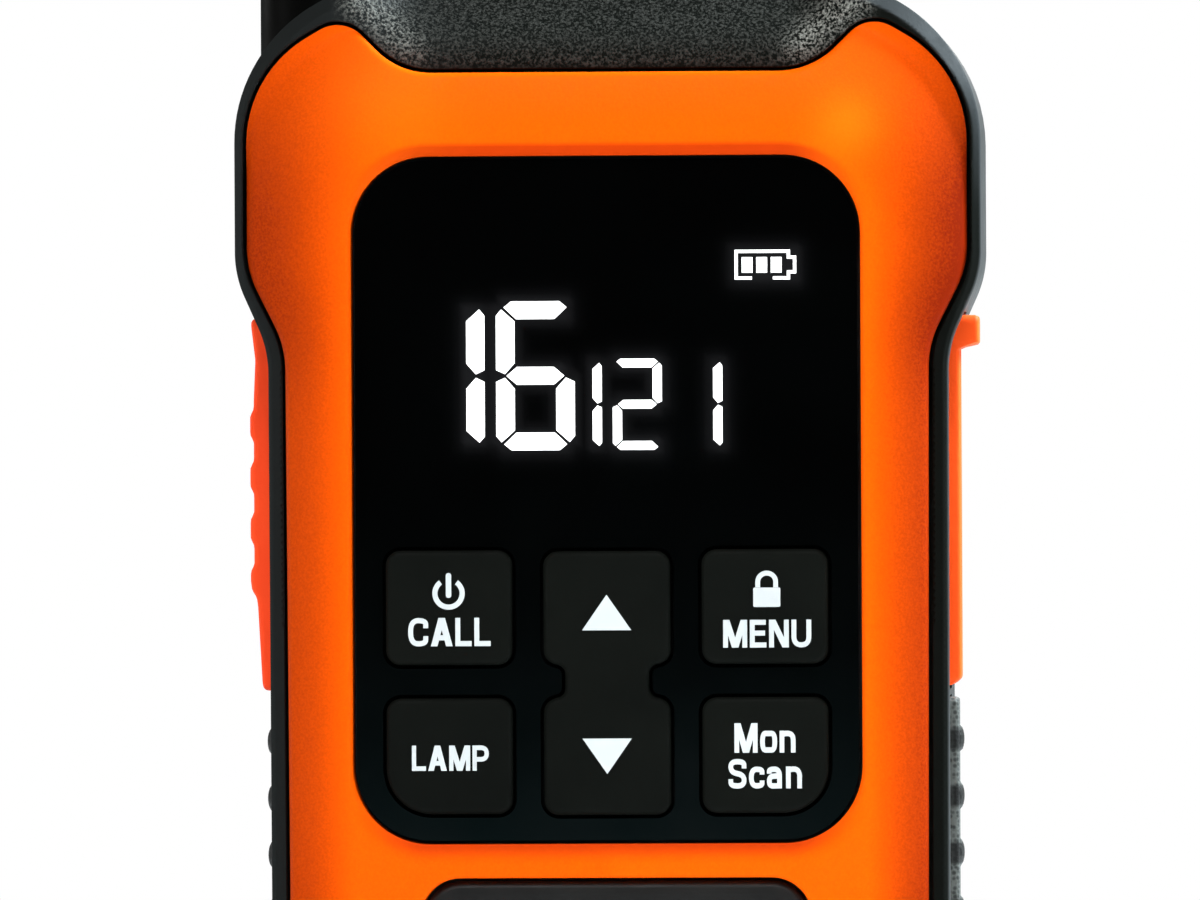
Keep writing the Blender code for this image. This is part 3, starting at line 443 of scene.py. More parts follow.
def carve(data, cutters, operation="DIFFERENCE"):
    """Mesh cut by, or joined to, each of the cutters in turn."""
    item = bpy.data.objects.new("carving", data)
    bpy.context.scene.collection.objects.link(item)
    tools = []
    for cutter in cutters:
        tool = bpy.data.objects.new("cutter", cutter)
        bpy.context.scene.collection.objects.link(tool)
        modifier = item.modifiers.new("cut", "BOOLEAN")
        modifier.operation, modifier.object, modifier.solver = operation, tool, "EXACT"
        tools.append(tool)
    bpy.context.view_layer.update()
    graph = bpy.context.evaluated_depsgraph_get()
    result = bpy.data.meshes.new_from_object(item.evaluated_get(graph))
    for used in tools + [item]:
        bpy.data.objects.remove(used, do_unlink=True)
    return result


def cuboid(low, high):
    return prism("block", rectangle(low[0], high[0], low[2], high[2], 0), low[1], high[1])


def rod(centre, radius, low, high, axis="Y", steps=32):
    return turned("rod", [(0, low), (radius, low), (radius, high), (0, high)], centre, axis,
                  steps)


def contact_windows(front, back):
    """Blocks that open the windows of both battery contacts between two depths."""
    centre = (CONTACT_LOW.x + CONTACT_HIGH.x) / 2
    half = (CONTACT_HIGH.x - CONTACT_LOW.x) / 2 + GAP
    return [cuboid((side * centre - half, front, CONTACT_LOW.z - GAP),
                   (side * centre + half, back, CONTACT_HIGH.z + GAP))
            for side in (-1, 1)]


def tube(name, route, radius, sides=14):
    """Round wire with flat ends along a list of points."""
    route = [Vector(point) for point in route]
    normal = Vector((1, 0, 0))
    points = []
    for index, point in enumerate(route):
        ahead = route[min(index + 1, len(route) - 1)] - route[max(index - 1, 0)]
        tangent = ahead.normalized()
        normal = (normal - tangent * normal.dot(tangent)).normalized()
        side = tangent.cross(normal)
        points += [tuple(point + (normal * math.cos(math.tau * k / sides)
                                  + side * math.sin(math.tau * k / sides)) * radius)
                   for k in range(sides)]
    return mesh_from(name, points, bands(len(route), sides))


# ---- materials ------------------------------------------------------------------------------
def new_material(name, colour, roughness, metallic=0.0, **sockets):
    material = bpy.data.materials.new(name)
    material.use_nodes = True
    shader = shader_of(material)
    shader.inputs["Base Color"].default_value = (*colour, 1.0)
    shader.inputs["Roughness"].default_value = roughness
    shader.inputs["Metallic"].default_value = metallic
    for socket, value in sockets.items():
        shader.inputs[socket.replace("_", " ")].default_value = value
    return material


def node(owner, kind, **values):
    """New node in a material or world; the values set its inputs or its properties."""
    made = owner.node_tree.nodes.new(kind)
    for key, value in values.items():
        if key in made.inputs:
            made.inputs[key].default_value = value
        else:
            setattr(made, key, value)
    return made


def link(owner, source, target):
    owner.node_tree.links.new(source, target)


def position(material):
    return node(material, "ShaderNodeTexCoord").outputs["Object"]


def noise(material, scale, detail=3.0, roughness=0.55):
    made = node(material, "ShaderNodeTexNoise", Scale=scale, Detail=detail,
                Roughness=roughness)
    link(material, position(material), made.inputs["Vector"])
    return made.outputs["Fac"]


def cells(material, scale, randomness=1.0):
    made = node(material, "ShaderNodeTexVoronoi", Scale=scale, Randomness=randomness)
    link(material, position(material), made.inputs["Vector"])
    return made.outputs["Distance"]


def plug(owner, socket, value):
    """Set a socket to a number or a colour, or link it to another node's output."""
    if isinstance(value, bpy.types.NodeSocket):
        link(owner, value, socket)
    elif isinstance(value, tuple):
        socket.default_value = (*value, 1.0)
    else:
        socket.default_value = value


def remap(owner, source, low, high, to_low, to_high):
    made = node(owner, "ShaderNodeMapRange")
    for socket, value in zip(("From Min", "From Max", "To Min", "To Max"),
                             (low, high, to_low, to_high)):
        made.inputs[socket].default_value = value
    link(owner, source, made.inputs["Value"])
    return made.outputs["Result"]


def combine(material, operation, first, second):
    made = node(material, "ShaderNodeMath", operation=operation)
    plug(material, made.inputs[0], first)
    plug(material, made.inputs[1], second)
    return made.outputs[0]


def attribute(material, name):
    return node(material, "ShaderNodeAttribute", attribute_name=name).outputs["Fac"]


def mix_colours(owner, factor, first, second, blend="MIX"):
    """Mix of two colours, each a triple or another node's output."""
    made = node(owner, "ShaderNodeMix", data_type="RGBA", blend_type=blend)
    for index, value in ((0, factor), (6, first), (7, second)):
        plug(owner, made.inputs[index], value)
    return made.outputs[2]


def shader_of(material):
    return material.node_tree.nodes["Principled BSDF"]


def paint(material, source):
    link(material, source, shader_of(material).inputs["Base Color"])


def bump(material, height, strength, distance_m):
    made = node(material, "ShaderNodeBump", Strength=strength, Distance=distance_m)
    link(material, height, made.inputs["Height"])
    link(material, made.outputs["Normal"], shader_of(material).inputs["Normal"])


def set_roughness(material, source, low, high):
    link(material, remap(material, source, 0.3, 0.7, low, high),
         shader_of(material).inputs["Roughness"])


def grained(name, colour, lighter, roughness, scale, strength, grain_m, shine=0.5):
    """Moulded plastic or rubber: fine grain, faint patches and slightly uneven gloss."""
    material = new_material(name, colour, roughness, Specular_IOR_Level=shine)
    patches = remap(material, noise(material, 90.0, 4.0), 0.35, 0.7, 0, 1)
    paint(material, mix_colours(material, patches, colour, lighter))
    set_roughness(material, noise(material, 300.0, 2.0), roughness - 0.05, roughness + 0.07)
    bump(material, noise(material, scale, 2.5, 0.6), strength, grain_m)
    return material


def orange_plastic():
    """Satin orange moulding, with painted shade on its flanks and in the seam round the panel, and
    painted highlights outside the panel's top corners.
    """
    material = new_material("orange_plastic", (0.93, 0.1, 0.0005), 0.5,
                            Specular_IOR_Level=0.03)
    speckle = remap(material, noise(material, 5200.0, 1.0), 0.3, 0.7, -0.03, 0.1)
    # painted shade on the flanks, with a random speckle of tone added
    flank_shade_and_speckle = combine(material, "ADD", attribute(material, "painted_flank_shade"), speckle)
    # the second colour is the painted shade of the flanks
    colour = mix_colours(material, flank_shade_and_speckle, (1.0, 0.108, 0.0003), (0.2, 0.0115, 0.0002))
    # painted shade in the seam round the panel
    colour = mix_colours(material, attribute(material, "painted_seam_shade"), colour, (0.54, 0.04, 0.0003))
    # painted highlight: a lighter, yellower orange outside the panel's top corners
    colour = mix_colours(material, attribute(material, "painted_crest_highlight"), colour, (1.0, 0.22, 0.003))
    paint(material, colour)
    set_roughness(material, noise(material, 700.0, 2.0), 0.42, 0.55)
    bump(material, noise(material, 3000.0, 2.0, 0.6), 0.4, 0.00006)
    return material


def frame_plastic():
    """Black frame: fine grain all over, painted highlights on the grain flecks in the scooped top
    with a painted glint at its ends, and paler walls, left side and top right chamfer from a
    painted sheen.
    """
    black, fleck_highlight_grey, painted_sheen_grey = (0.003, 0.0038, 0.003), (0.27, 0.275, 0.25), (0.034, 0.038, 0.04)
    material = new_material("frame_plastic", black, 0.42, Specular_IOR_Level=0.035)
    scoop, painted_glint = attribute(material, "scoop"), attribute(material, "painted_glint")
    fleck = noise(material, 4300.0, 1.0, 0.7)
    pebbles = combine(material, "MULTIPLY", fleck, scoop)
    fine = combine(material, "MULTIPLY", noise(material, 3800.0, 2.0), 0.15)
    bump(material, combine(material, "ADD", pebbles, fine), 0.7, 0.00012)
    # painted highlights: the grain flecks lighten across the scoop, and most at the painted glint
    # on its two ends
    highlight_share = combine(material, "ADD", combine(material, "MULTIPLY", scoop, 0.13), painted_glint)
    fleck_highlights = combine(material, "MULTIPLY", remap(material, fleck, 0.42, 0.72, 0, 1), highlight_share)
    face = mix_colours(material, fleck_highlights, black, fleck_highlight_grey)
    # the walls, the left side and the top right chamfer take a paler blue grey: painted sheen
    paint(material, mix_colours(material, attribute(material, "front"), painted_sheen_grey, face))
    set_roughness(material, noise(material, 800.0, 2.0), 0.42, 0.55)
    return material


def dotted_rubber():
    """Grip rubber: a grey dotted strip, with its smooth ribs painted near-black as painted shade
    on their front slopes.
    """
    material = new_material("grip_rubber", (0.05, 0.05, 0.05), 0.6, Specular_IOR_Level=0.2)
    dots = remap(material, cells(material, 2600.0, 0.6), 0.25, 0.6, 0, 1)
    strip = mix_colours(material, dots, (0.03, 0.033, 0.031), (0.1, 0.108, 0.1))
    # the ribs are painted near-black: painted shade
    paint(material, mix_colours(material, attribute(material, "rib"), strip,
                                (0.004, 0.0045, 0.004)))
    set_roughness(material, noise(material, 400.0, 2.0), 0.5, 0.65)
    bump(material, dots, 0.4, 0.00008)
    return material


def panel_gloss():
    """Polished black panel; the lit display glows faintly through it."""
    material = new_material("panel_gloss", (0.0004, 0.0004, 0.0004), 0.07)
    shader = shader_of(material)
    link(material, attribute(material, "glow"), shader.inputs["Emission Strength"])
    shader.inputs["Emission Color"].default_value = (0.9, 0.92, 1.0, 1.0)
    set_roughness(material, noise(material, 60.0, 3.0), 0.05, 0.09)
    return material


def light(name, colour, strength):
    """Glowing plastic whose surface is slightly uneven."""
    white = (0.9, 0.9, 0.9)
    material = new_material(name, white, 0.4)
    shader_of(material).inputs["Emission Color"].default_value = (*colour, 1.0)
    shader_of(material).inputs["Emission Strength"].default_value = strength
    uneven = remap(material, noise(material, 900.0, 1.0), 0.3, 0.7, 0.93, 1.0)
    paint(material, mix_colours(material, 1.0, white, uneven, "MULTIPLY"))
    return material


def brushed(name, colour, roughness, metallic=1.0):
    """Metal with fine drawn scratches and a slightly uneven polish."""
    material = new_material(name, colour, roughness, metallic)
    set_roughness(material, noise(material, 500.0, 3.0), roughness - 0.06, roughness + 0.1)
    stretch = node(material, "ShaderNodeMapping")
    stretch.inputs["Scale"].default_value = (1.0, 1.0, 14.0)
    link(material, position(material), stretch.inputs["Vector"])
    scratches = node(material, "ShaderNodeTexNoise", Scale=420.0, Detail=3.0)
    link(material, stretch.outputs["Vector"], scratches.inputs["Vector"])
    bump(material, scratches.outputs["Fac"], 0.12, 0.00004)
    return material


def circuit_board():
    """Green solder mask with copper tracks running under it."""
    mask = (0.01, 0.12, 0.045)
    material = new_material("circuit_board", mask, 0.35)
    tracks = node(material, "ShaderNodeTexBrick", Scale=260.0)
    tracks.inputs["Mortar Size"].default_value = 0.05
    for socket, colour in (("Color1", mask), ("Color2", (0.008, 0.09, 0.035)),
                           ("Mortar", (0.03, 0.22, 0.08))):
        plug(material, tracks.inputs[socket], colour)
    turn = node(material, "ShaderNodeMapping")
    turn.inputs["Rotation"].default_value = (math.pi / 2, 0, 0)
    link(material, position(material), turn.inputs["Vector"])
    link(material, turn.outputs["Vector"], tracks.inputs["Vector"])
    paint(material, tracks.outputs["Color"])
    bump(material, tracks.outputs["Fac"], 0.15, 0.00005)
    return material


def clear_glass():
    material = new_material("clear_glass", (0.96, 0.98, 1.0), 0.04, Transmission_Weight=1.0,
                            IOR=1.47)
    set_roughness(material, noise(material, 200.0, 2.0), 0.02, 0.07)
    return material


ORANGE = orange_plastic()
FRAME = frame_plastic()
SHELL = grained("shell_plastic", (0.015, 0.016, 0.0155), (0.023, 0.024, 0.0235), 0.47,
                2600.0, 0.45, 0.00009, 0.45)
PANEL = panel_gloss()
KEYS = grained("key_rubber", (0.0016, 0.0022, 0.0016), (0.003, 0.0038, 0.0028), 0.6, 3400.0,
               0.3, 0.00006, 0.05)
CHARCOAL = grained("grille_plastic", (0.0055, 0.0055, 0.0052), (0.01, 0.01, 0.0092), 0.45,
                   3000.0, 0.4, 0.00007, 0.15)
ORANGE_RUBBER = grained("orange_rubber", (0.97, 0.062, 0.012), (1.0, 0.075, 0.014), 0.55,
                        2400.0, 0.35, 0.00007, 0.1)
COVER_RUBBER = grained("cover_rubber", (0.97, 0.082, 0.007), (1.0, 0.094, 0.009), 0.55,
                       2400.0, 0.35, 0.00007, 0.1)
BLACK_RUBBER = grained("black_rubber", (0.012, 0.012, 0.012), (0.02, 0.02, 0.02), 0.62,
                       2200.0, 0.5, 0.00009, 0.35)
GRIP_RUBBER = dotted_rubber()
ANTENNA_RUBBER = grained("antenna_rubber", (0.0006, 0.0006, 0.0005), (0.0012, 0.0012, 0.001),
                         0.45, 2600.0, 0.3, 0.00006, 0.03)
PRINT = grained("white_print", (0.54, 0.58, 0.59), (0.6, 0.64, 0.65), 0.5, 4000.0, 0.1,
                0.00003, 0.2)
DISPLAY_LIGHT = light("display_light", (0.97, 0.99, 1.0), 1.0)
WHITE_PLASTIC = grained("white_plastic", (0.78, 0.78, 0.76), (0.85, 0.85, 0.84), 0.4,
                        1500.0, 0.15, 0.00005)
STEEL = brushed("steel", (0.56, 0.57, 0.58), 0.3)
BRASS = brushed("gold_plate", (0.85, 0.62, 0.27), 0.26)
REFLECTOR = brushed("reflector", (0.86, 0.87, 0.88), 0.12)
BOARD = circuit_board()
GLASS = clear_glass()


# ---- face plate -----------------------------------------------------------------------------
def slope_position(points):
    """Place of each point on the plate's slope, from 0 at its edge, and the slope's width."""
    outer = distance_to(CROWN, points)
    toward = np.where(inside(LEVEL_AREA, points), 0.0, distance_to(LEVEL_AREA, points))
    return outer / np.maximum(outer + toward, 1e-6), outer + toward


def heading(points):
    """How far each point lies sideways and upward of the panel, as parts of one."""
    across = np.maximum(np.abs(points[:, 0]) - WELL_HALF_WIDTH, 0)
    upward = np.maximum(np.abs(points[:, 1] - WELL_MIDDLE) - WELL_HALF_HEIGHT, 0)
    reach = np.maximum(np.hypot(across, upward), 1e-6)
    return across / reach, upward / reach


def plate_depth(points, edges):
    """Depth of the plate's face; its edges are its outline, the panel and the grille."""
    slope, slope_end, deepest = 0.31, 0.84, 3.2
    bevel_depth, edge_radius, grille_radius = 0.35, 0.45, 0.25
    t, band = slope_position(points)
    drop = slope * band * np.clip(1 - t / slope_end, 0, 1) ** 1.75
    width = 0.28 + np.where(points[:, 1] > WELL_MIDDLE, 0.65, 1.35) * heading(points)[1] ** 2
    bevel = bevel_depth * np.clip(1 - edges[1] / width, 0, 1) ** 1.5
    return BEZEL_FRONT + np.minimum(drop + round_edge(edges[0], edge_radius), deepest) \
        + bevel + round_edge(edges[2], grille_radius)


def plate_painted_flank_shade(points, edges):
    """Share of painted shade on the flanks: most at the outer edge, and more on the right, with a
    painted darker line along the right edge and a little painted shade towards the foot.
    """
    t, _ = slope_position(points)
    shoulder = 0.2 * smoothstep(WAIST_TOP - 8, SHOULDER_LOW, points[:, 1])
    sideways = np.where(points[:, 1] > WELL_MIDDLE, heading(points)[0], 1.0)
    left = 0.64 + shoulder
    right = 0.75 + shoulder + 0.14 * np.exp(-edges[0] / 0.5)
    foot = 0.06 * (1 - smoothstep(40, 52, points[:, 1]))
    return foot + np.where(points[:, 0] < 0,
                           left * sideways ** 1.3 * np.clip(1 - (t / 1.08) ** 2, 0, 1),
                           right * sideways ** 1.6 * np.clip(1 - (t / 0.88) ** 2, 0, 1))


def plate_painted_seam_shade(points, edges):
    """Painted shade in the bevel round the panel, narrow above it and wider below."""
    band = np.where(points[:, 1] > WELL_MIDDLE, 1 - smoothstep(0.75, 1.2, edges[1]),
                    1 - smoothstep(0.1, 1.6, edges[1]))
    return heading(points)[1] ** 3 * band


def plate_crest_highlights(points, edges):
    """Painted highlights outside the panel's top corners, the right one stronger."""
    crest = 0
    # each term adds one painted highlight
    for u, v, radius, strength in ((19.6, 106.2, 2.6, 0.5), (-17.5, 108.0, 4.5, 0.22)):
        away = np.hypot(points[:, 0] - u, points[:, 1] - v)
        crest += strength * np.exp(-(away / radius) ** 2)
    return crest


def face_plate():
    """Orange plate: sloping flanks, rounded edges and a soft bevel round the panel."""
    data = relief("face_plate", bezel_corners(),
                  [panel_corners(), offset(grille_corners(), -GAP)], plate_depth, BEZEL_HIGH.y,
                  attributes={"painted_flank_shade": plate_painted_flank_shade, "painted_seam_shade": plate_painted_seam_shade,
                              "painted_crest_highlight": plate_crest_highlights})
    data = carve(data, [rod(MICROPHONE_HOLE, MICROPHONE_RADIUS, BEZEL_FRONT - 1,
                            BEZEL_HIGH.y + 1)])
    add_piece("face_plate", data, ORANGE, "housing", ["front_bezel"], 50)


# ---- front frame ----------------------------------------------------------------------------
def frame_depth(points, edges):
    """Depth of the frame's face: chamfered outside, and scooped between the shoulders."""
    across, z = np.abs(points[:, 0]), points[:, 1]
    scoop = smoothstep(SCOOP_LOW, BODY_HEIGHT + 1.0, z) * (1 - smoothstep(15.0, 21.5, across))
    chamfer = 0.3 + 0.25 * smoothstep(WAIST_TOP, SHOULDER_LOW, z) \
        + 0.6 * smoothstep(107, 114, z)
    return RIM_FRONT + SCOOP_DEPTH * scoop + np.maximum(chamfer - edges[0], 0) \
        + round_edge(edges[1], 0.12)


def frame_scoop(points, edges):
    """One inside the scoop, none elsewhere."""
    above = smoothstep(SCOOP_LOW - 1.8, SCOOP_LOW - 0.6, points[:, 1])
    return above * (1 - smoothstep(20.0, 22.5, np.abs(points[:, 0])))


def frame_painted_glint(points, edges):
    """Painted sheen on the slopes at the two ends of the scoop, stronger at the right."""
    across = np.abs(points[:, 0])
    ends = smoothstep(13.5, 16.5, across) * (1 - smoothstep(20.5, 22.5, across))
    strength = np.where(points[:, 0] > 0, 1.0, 0.6)
    return strength * ends * np.exp(-((edges[1] - 1.7) / 1.3) ** 2)


def frame_unsheened_share(points, edges):
    """One on the front face, less where a painted sheen makes it paler: at the left, and on the
    top right chamfer. The outer wall has no value, and takes the full painted sheen."""
    width = 0.45 + 0.7 * smoothstep(106, 114, points[:, 1])
    slope = 1 - smoothstep(-0.15, 0.1, edges[0] - width)
    upper = smoothstep(98, 110, points[:, 1]) * smoothstep(0, 10, points[:, 0])
    left = 1 - smoothstep(-22, -8, points[:, 0])
    return 1 - 0.7 * slope * upper - 0.22 * left


def front_frame():
    """Black frame round the face plate, scooped between the two shoulders at the top."""
    # its glint attribute is a painted glint, and its front attribute is one where the black is
    # free of painted sheen
    data = relief("front_frame", shell_corners(), [offset(bezel_corners(), -GAP)], frame_depth,
                  SPLIT, spacing=0.6, rings=(0.08, 0.2, 0.3, 0.42, 0.55, 0.7, 0.9, 1.15),
                  attributes={"scoop": frame_scoop, "painted_glint": frame_painted_glint,
                              "front": frame_unsheened_share}, steps=26)
    add_piece("front_frame", data, FRAME, "housing", ["front_housing"], 50)


def frame_floor():
    """Floor behind the face plate, open for the keys, display, speaker and microphone."""
    front, back, beyond = BEZEL_HIGH.y + GAP, BEZEL_HIGH.y + 1.9, 1.5
    through = (front - beyond, back + beyond)
    floor = prism("floor", offset(bezel_corners(), 0.4), front, back, steps=12)
    floor = carve(floor, [
        prism("window", rectangle(-WINDOW_HALF, WINDOW_HALF, 49.3, 73.8, 1.5), *through),
        prism("window", rectangle(-WINDOW_HALF, WINDOW_HALF, LCD_LOW.z - 0.4,
                                  LCD_HIGH.z + 0.4, 1.0), *through),
        rod((0, SPEAKER.z), 13.8, *through, steps=64),
        rod(MICROPHONE_HOLE, MICROPHONE_RADIUS, *through)])
    add_piece("front_floor", floor, SHELL, "housing")


def display_panel(glow_boxes):
    """Glossy panel with openings for the keys; glow_boxes are the lit signs behind it."""
    holes = [offset(key_shape(name), -GAP) for name in KEY_NODES]

    def depth(points, edges):
        return np.full(len(points), PANEL_FRONT)

    def glow(points, edges):
        total = np.zeros(len(points))
        for low_u, high_u, low_v, high_v in glow_boxes:
            du = np.maximum(np.maximum(low_u - points[:, 0], points[:, 0] - high_u), 0)
            dv = np.maximum(np.maximum(low_v - points[:, 1], points[:, 1] - high_v), 0)
            total = np.maximum(total, np.exp(-np.hypot(du, dv) / 0.45))
        return 0.014 * total

    data = relief("display_panel", offset(panel_corners(), GAP), holes, depth, PANEL_HIGH.y,
                  spacing=0.6, rings=(0.5,), attributes={"glow": glow}, steps=14)
    add_piece("display_panel", data, PANEL, "housing", ["display_lens"], 50)


# ---- keys -----------------------------------------------------------------------------------
def key_shape(name):
    """Outline of a key's cap, from its CAD box."""
    low, high = box(name)
    if name == "up_down_key":
        side, neck = high.x, high.x - 1.75
        lower, upper = low.z + 9.5, low.z + 12.2
        return both_sides([(side, low.z, KEY_CORNER), (side, lower, KEY_CORNER),
                           (neck, lower, 0.8), (neck, upper, 0.8),
                           (side, upper, KEY_CORNER), (side, high.z, KEY_CORNER)])
    corners = rectangle(low.x + KEY_LIP, high.x - KEY_LIP, low.z + KEY_LIP, high.z - KEY_LIP,
                        KEY_CORNER)
    if name in ("lamp_key", "scan_key"):
        outer = 0 if low.x < 0 else 1
        corners[outer] = (*corners[outer][:2], PANEL_KEY_CORNER)
    return corners


def key_cap(name):
    """Soft-edged cap, slightly pillowed, with its hidden lip and stem."""
    low, high = box(name)
    centre = middle(name)
    corners = key_shape(name)

    def depth(points, edges):
        return low.y + round_edge(edges[0], 0.42) + 0.1 * np.exp(-edges[0] / 1.3)

    data = relief(name + "_cap", corners, [], depth, PANEL_BACK + 0.4, spacing=0.45,
                  rings=(0.04, 0.1, 0.18, 0.28, 0.42, 0.7), steps=12)
    add_piece(name + "_cap", data, KEYS, name, [name], 50)
    if name == "up_down_key":
        stems = [(0, centre.z + side * ROCKER_STEM) for side in (-1, 1)]
    else:
        stems = [(centre.x, centre.z)]
        lip = prism(name + "_lip", offset(corners, -KEY_LIP), PANEL_BACK + 0.45,
                    PANEL_BACK + 1.1, steps=8)
        add_piece(name + "_lip", lip, KEYS, name)
    start, radius, chamfer = PANEL_BACK + 1.15, 1.6, 0.2
    profile = [(0, start), (radius, start), (radius, high.y - chamfer),
               (radius - chamfer, high.y), (0, high.y)]
    for index, stem in enumerate(stems):
        add_piece(f"{name}_stem_{index}", turned("stem", profile, stem, steps=24), KEYS, name)


def flat_sign(name, shapes, face, body, material=PRINT,
              thickness=PRINT_HEIGHT):
    """Thin raised print: overlapping closed outlines joined in one piece on a face."""
    found, faces, _ = triangulate(shapes, joined=True)
    used = {k: new for new, k in enumerate(sorted({k for tri in faces for k in tri}))}
    count = len(used)
    points = [(found[k][0], face - thickness, found[k][1]) for k in used]
    points += [(found[k][0], face, found[k][1]) for k in used]
    front = [[used[k] for k in tri] for tri in faces]
    sides = {(a, b) for tri in front for a, b in zip(tri, tri[1:] + tri[:1])}
    walls = [[b, a, a + count, b + count] for a, b in sorted(sides) if (b, a) not in sides]
    back = [[k + count for k in tri[::-1]] for tri in front]
    add_piece(name, mesh_from(name, points, front + back + walls), material, body)


def ring_arc(centre, width, height, start, end, steps):
    """Points along part of an ellipse, given its half width and half height."""
    angles = [start + (end - start) * k / steps for k in range(steps + 1)]
    return [(centre[0] + width * math.cos(a), centre[1] + height * math.sin(a))
            for a in angles]


def bar(u, v, width, height, radius=0.0):
    return rounded(rectangle(u - width / 2, u + width / 2, v - height / 2, v + height / 2,
                             radius), 4)


STROKE = 0.182               # thickness of a letter's strokes, as a part of its height
LOWER = 0.74                 # height of the small letters


def fillet(path, steps=8):
    """Open path through (u, v, radius) points, rounded at the points with a radius."""
    route = []
    for index, (u, v, radius) in enumerate(path):
        corner = Vector((u, v))
        if radius <= 0 or index in (0, len(path) - 1):
            route.append(corner)
            continue
        before = (Vector(path[index - 1][:2]) - corner)
        after = (Vector(path[index + 1][:2]) - corner)
        start = corner + before * min(radius / before.length, 0.5)
        end = corner + after * min(radius / after.length, 0.5)
        for s in range(steps + 1):
            t = s / steps
            route.append(start.lerp(corner, t).lerp(corner.lerp(end, t), t))
    return route


def ribbon(path, width=STROKE):
    """Outline of a stroke of even width along an open path."""
    route = fillet(path)
    left, right = [], []
    for index, point in enumerate(route):
        ahead = route[min(index + 1, len(route) - 1)] - route[max(index - 1, 0)]
        side = Vector((-ahead.y, ahead.x)).normalized() * (width / 2)
        left.append(point + side)
        right.append(point - side)
    return [tuple(p) for p in right + left[::-1]]


def slant(low_u, high_u, width=0.24):
    """Full-height sloping stroke with level ends."""
    return [(low_u, 0), (low_u + width, 0), (high_u + width, 1), (high_u, 1)]


def letter(sign):
    """Width and stroke outlines of a plain bold letter, one unit high."""
    h, low = STROKE / 2, LOWER
    stem = lambda u, top=1.0: ribbon([(u, 0, 0), (u, top, 0)])
    level = lambda v, end: ribbon([(0, v, 0), (end, v, 0)])
    bowl = lambda w, top, mouth: ribbon([
        (w - h, top - mouth, 0), (w - h, top - h, 0.4), (h, top - h, 0.4), (h, h, 0.4),
        (w - h, h, 0.4), (w - h, mouth, 0)])
    if sign == "A":
        return 0.8, [slant(0, 0.28), slant(0.56, 0.28), ribbon([(0.16, 0.3, 0), (0.64, 0.3, 0)])]
    if sign == "C":
        return 0.74, [bowl(0.74, 1.0, 0.36)]
    if sign == "E":
        return 0.62, [stem(h), level(h, 0.62), level(0.52, 0.57), level(1 - h, 0.6)]
    if sign == "L":
        return 0.6, [stem(h), level(h, 0.6)]
    if sign == "M":
        return 0.9, [stem(h), stem(0.9 - h), slant(0.33, 0.0), slant(0.33, 0.66)]
    if sign == "N":
        return 0.74, [stem(h), stem(0.74 - h), slant(0.5, 0.0)]
    if sign == "P":
        return 0.7, [stem(h), ribbon([(h, 1 - h, 0), (0.7 - h, 1 - h, 0.28),
                                      (0.7 - h, 0.45, 0.28), (h, 0.45, 0)])]
    if sign == "S":
        return 0.7, [ribbon([(0.7 - h, 0.68, 0), (0.7 - h, 1 - h, 0.28), (h, 1 - h, 0.28),
                             (h, 0.55, 0.25), (0.7 - h, 0.46, 0.25), (0.7 - h, h, 0.28),
                             (h, h, 0.28), (h, 0.32, 0)])]
    if sign == "U":
        return 0.74, [ribbon([(h, 1, 0), (h, h, 0.3), (0.74 - h, h, 0.3), (0.74 - h, 1, 0)])]
    if sign == "a":
        return 0.64, [ribbon([(h, 0.5, 0), (h, low - h, 0.22), (0.58 - h, low - h, 0.22),
                              (0.58 - h, 0, 0)]),
                      ribbon([(0.58 - h, 0.43, 0), (h, 0.4, 0.15), (h, h * 0.9, 0.15),
                              (0.58 - h, h, 0)])]
    if sign == "c":
        return 0.6, [bowl(0.6, low, 0.27)]
    if sign == "n":
        return 0.64, [stem(h, low), ribbon([(h, 0.45, 0), (h, low - h, 0.25),
                                            (0.62 - h, low - h, 0.25), (0.62 - h, 0, 0)])]
    if sign == "o":
        return 0.66, [ribbon([(0.33, low - h, 0), (h, low - h, 0.3), (h, h, 0.3),
                              (0.33, h, 0)]),
                      ribbon([(0.33, low - h, 0), (0.66 - h, low - h, 0.3),
                              (0.66 - h, h, 0.3), (0.33, h, 0)])]
    raise ValueError("no shape for the letter " + sign)


def word(name, text, centre, width, height, face, body):
    """Printed word fitted to a width and height about its centre."""
    space, reach, placed = 0.1, 0.0, []
    for sign in text:
        advance, strokes = letter(sign)
        placed += [[(u + reach, v) for u, v in stroke] for stroke in strokes]
        reach += advance + space
    reach -= space
    shapes = [[(centre[0] + (u / reach - 0.5) * width, centre[1] + (v - 0.5) * height)
               for u, v in stroke] for stroke in placed]
    flat_sign(name, shapes, face, body)


def power_sign(face):
    """Open ring with an upright bar in its gap."""
    key = middle("call_key")
    centre, gap_angle = (key.x, key.z + 1.17), 0.62
    turn = (math.pi / 2 + gap_angle, math.pi * 2.5 - gap_angle)
    ring = ring_arc(centre, 1.32, 1.32, *turn, 28) + ring_arc(centre, 0.9, 0.9, *turn, 28)[::-1]
    flat_sign("power_sign", [ring], face, "call_key")
    flat_sign("power_bar", [bar(centre[0], centre[1] + 0.65, 0.44, 2.02, 0.2)], face,
              "call_key")


def lock_sign(face):
    """Closed padlock: a block under a round shackle."""
    key = middle("menu_key")
    u, v = key.x + 0.18, key.z + 0.75
    outer, inner, top, arch = 0.92, 0.53, v + 0.8, (u, v + 1.26)
    flat_sign("lock_sign", [bar(u, v, 2.2, 1.57, 0.12)], face, "menu_key")
    shackle = [(u + outer, top), *ring_arc(arch, outer, 0.9, 0, math.pi, 16),
               (u - outer, top), (u - inner, top),
               *ring_arc(arch, inner, 0.5, math.pi, 0, 16), (u + inner, top)]
    flat_sign("lock_shackle", [shackle], face, "menu_key")


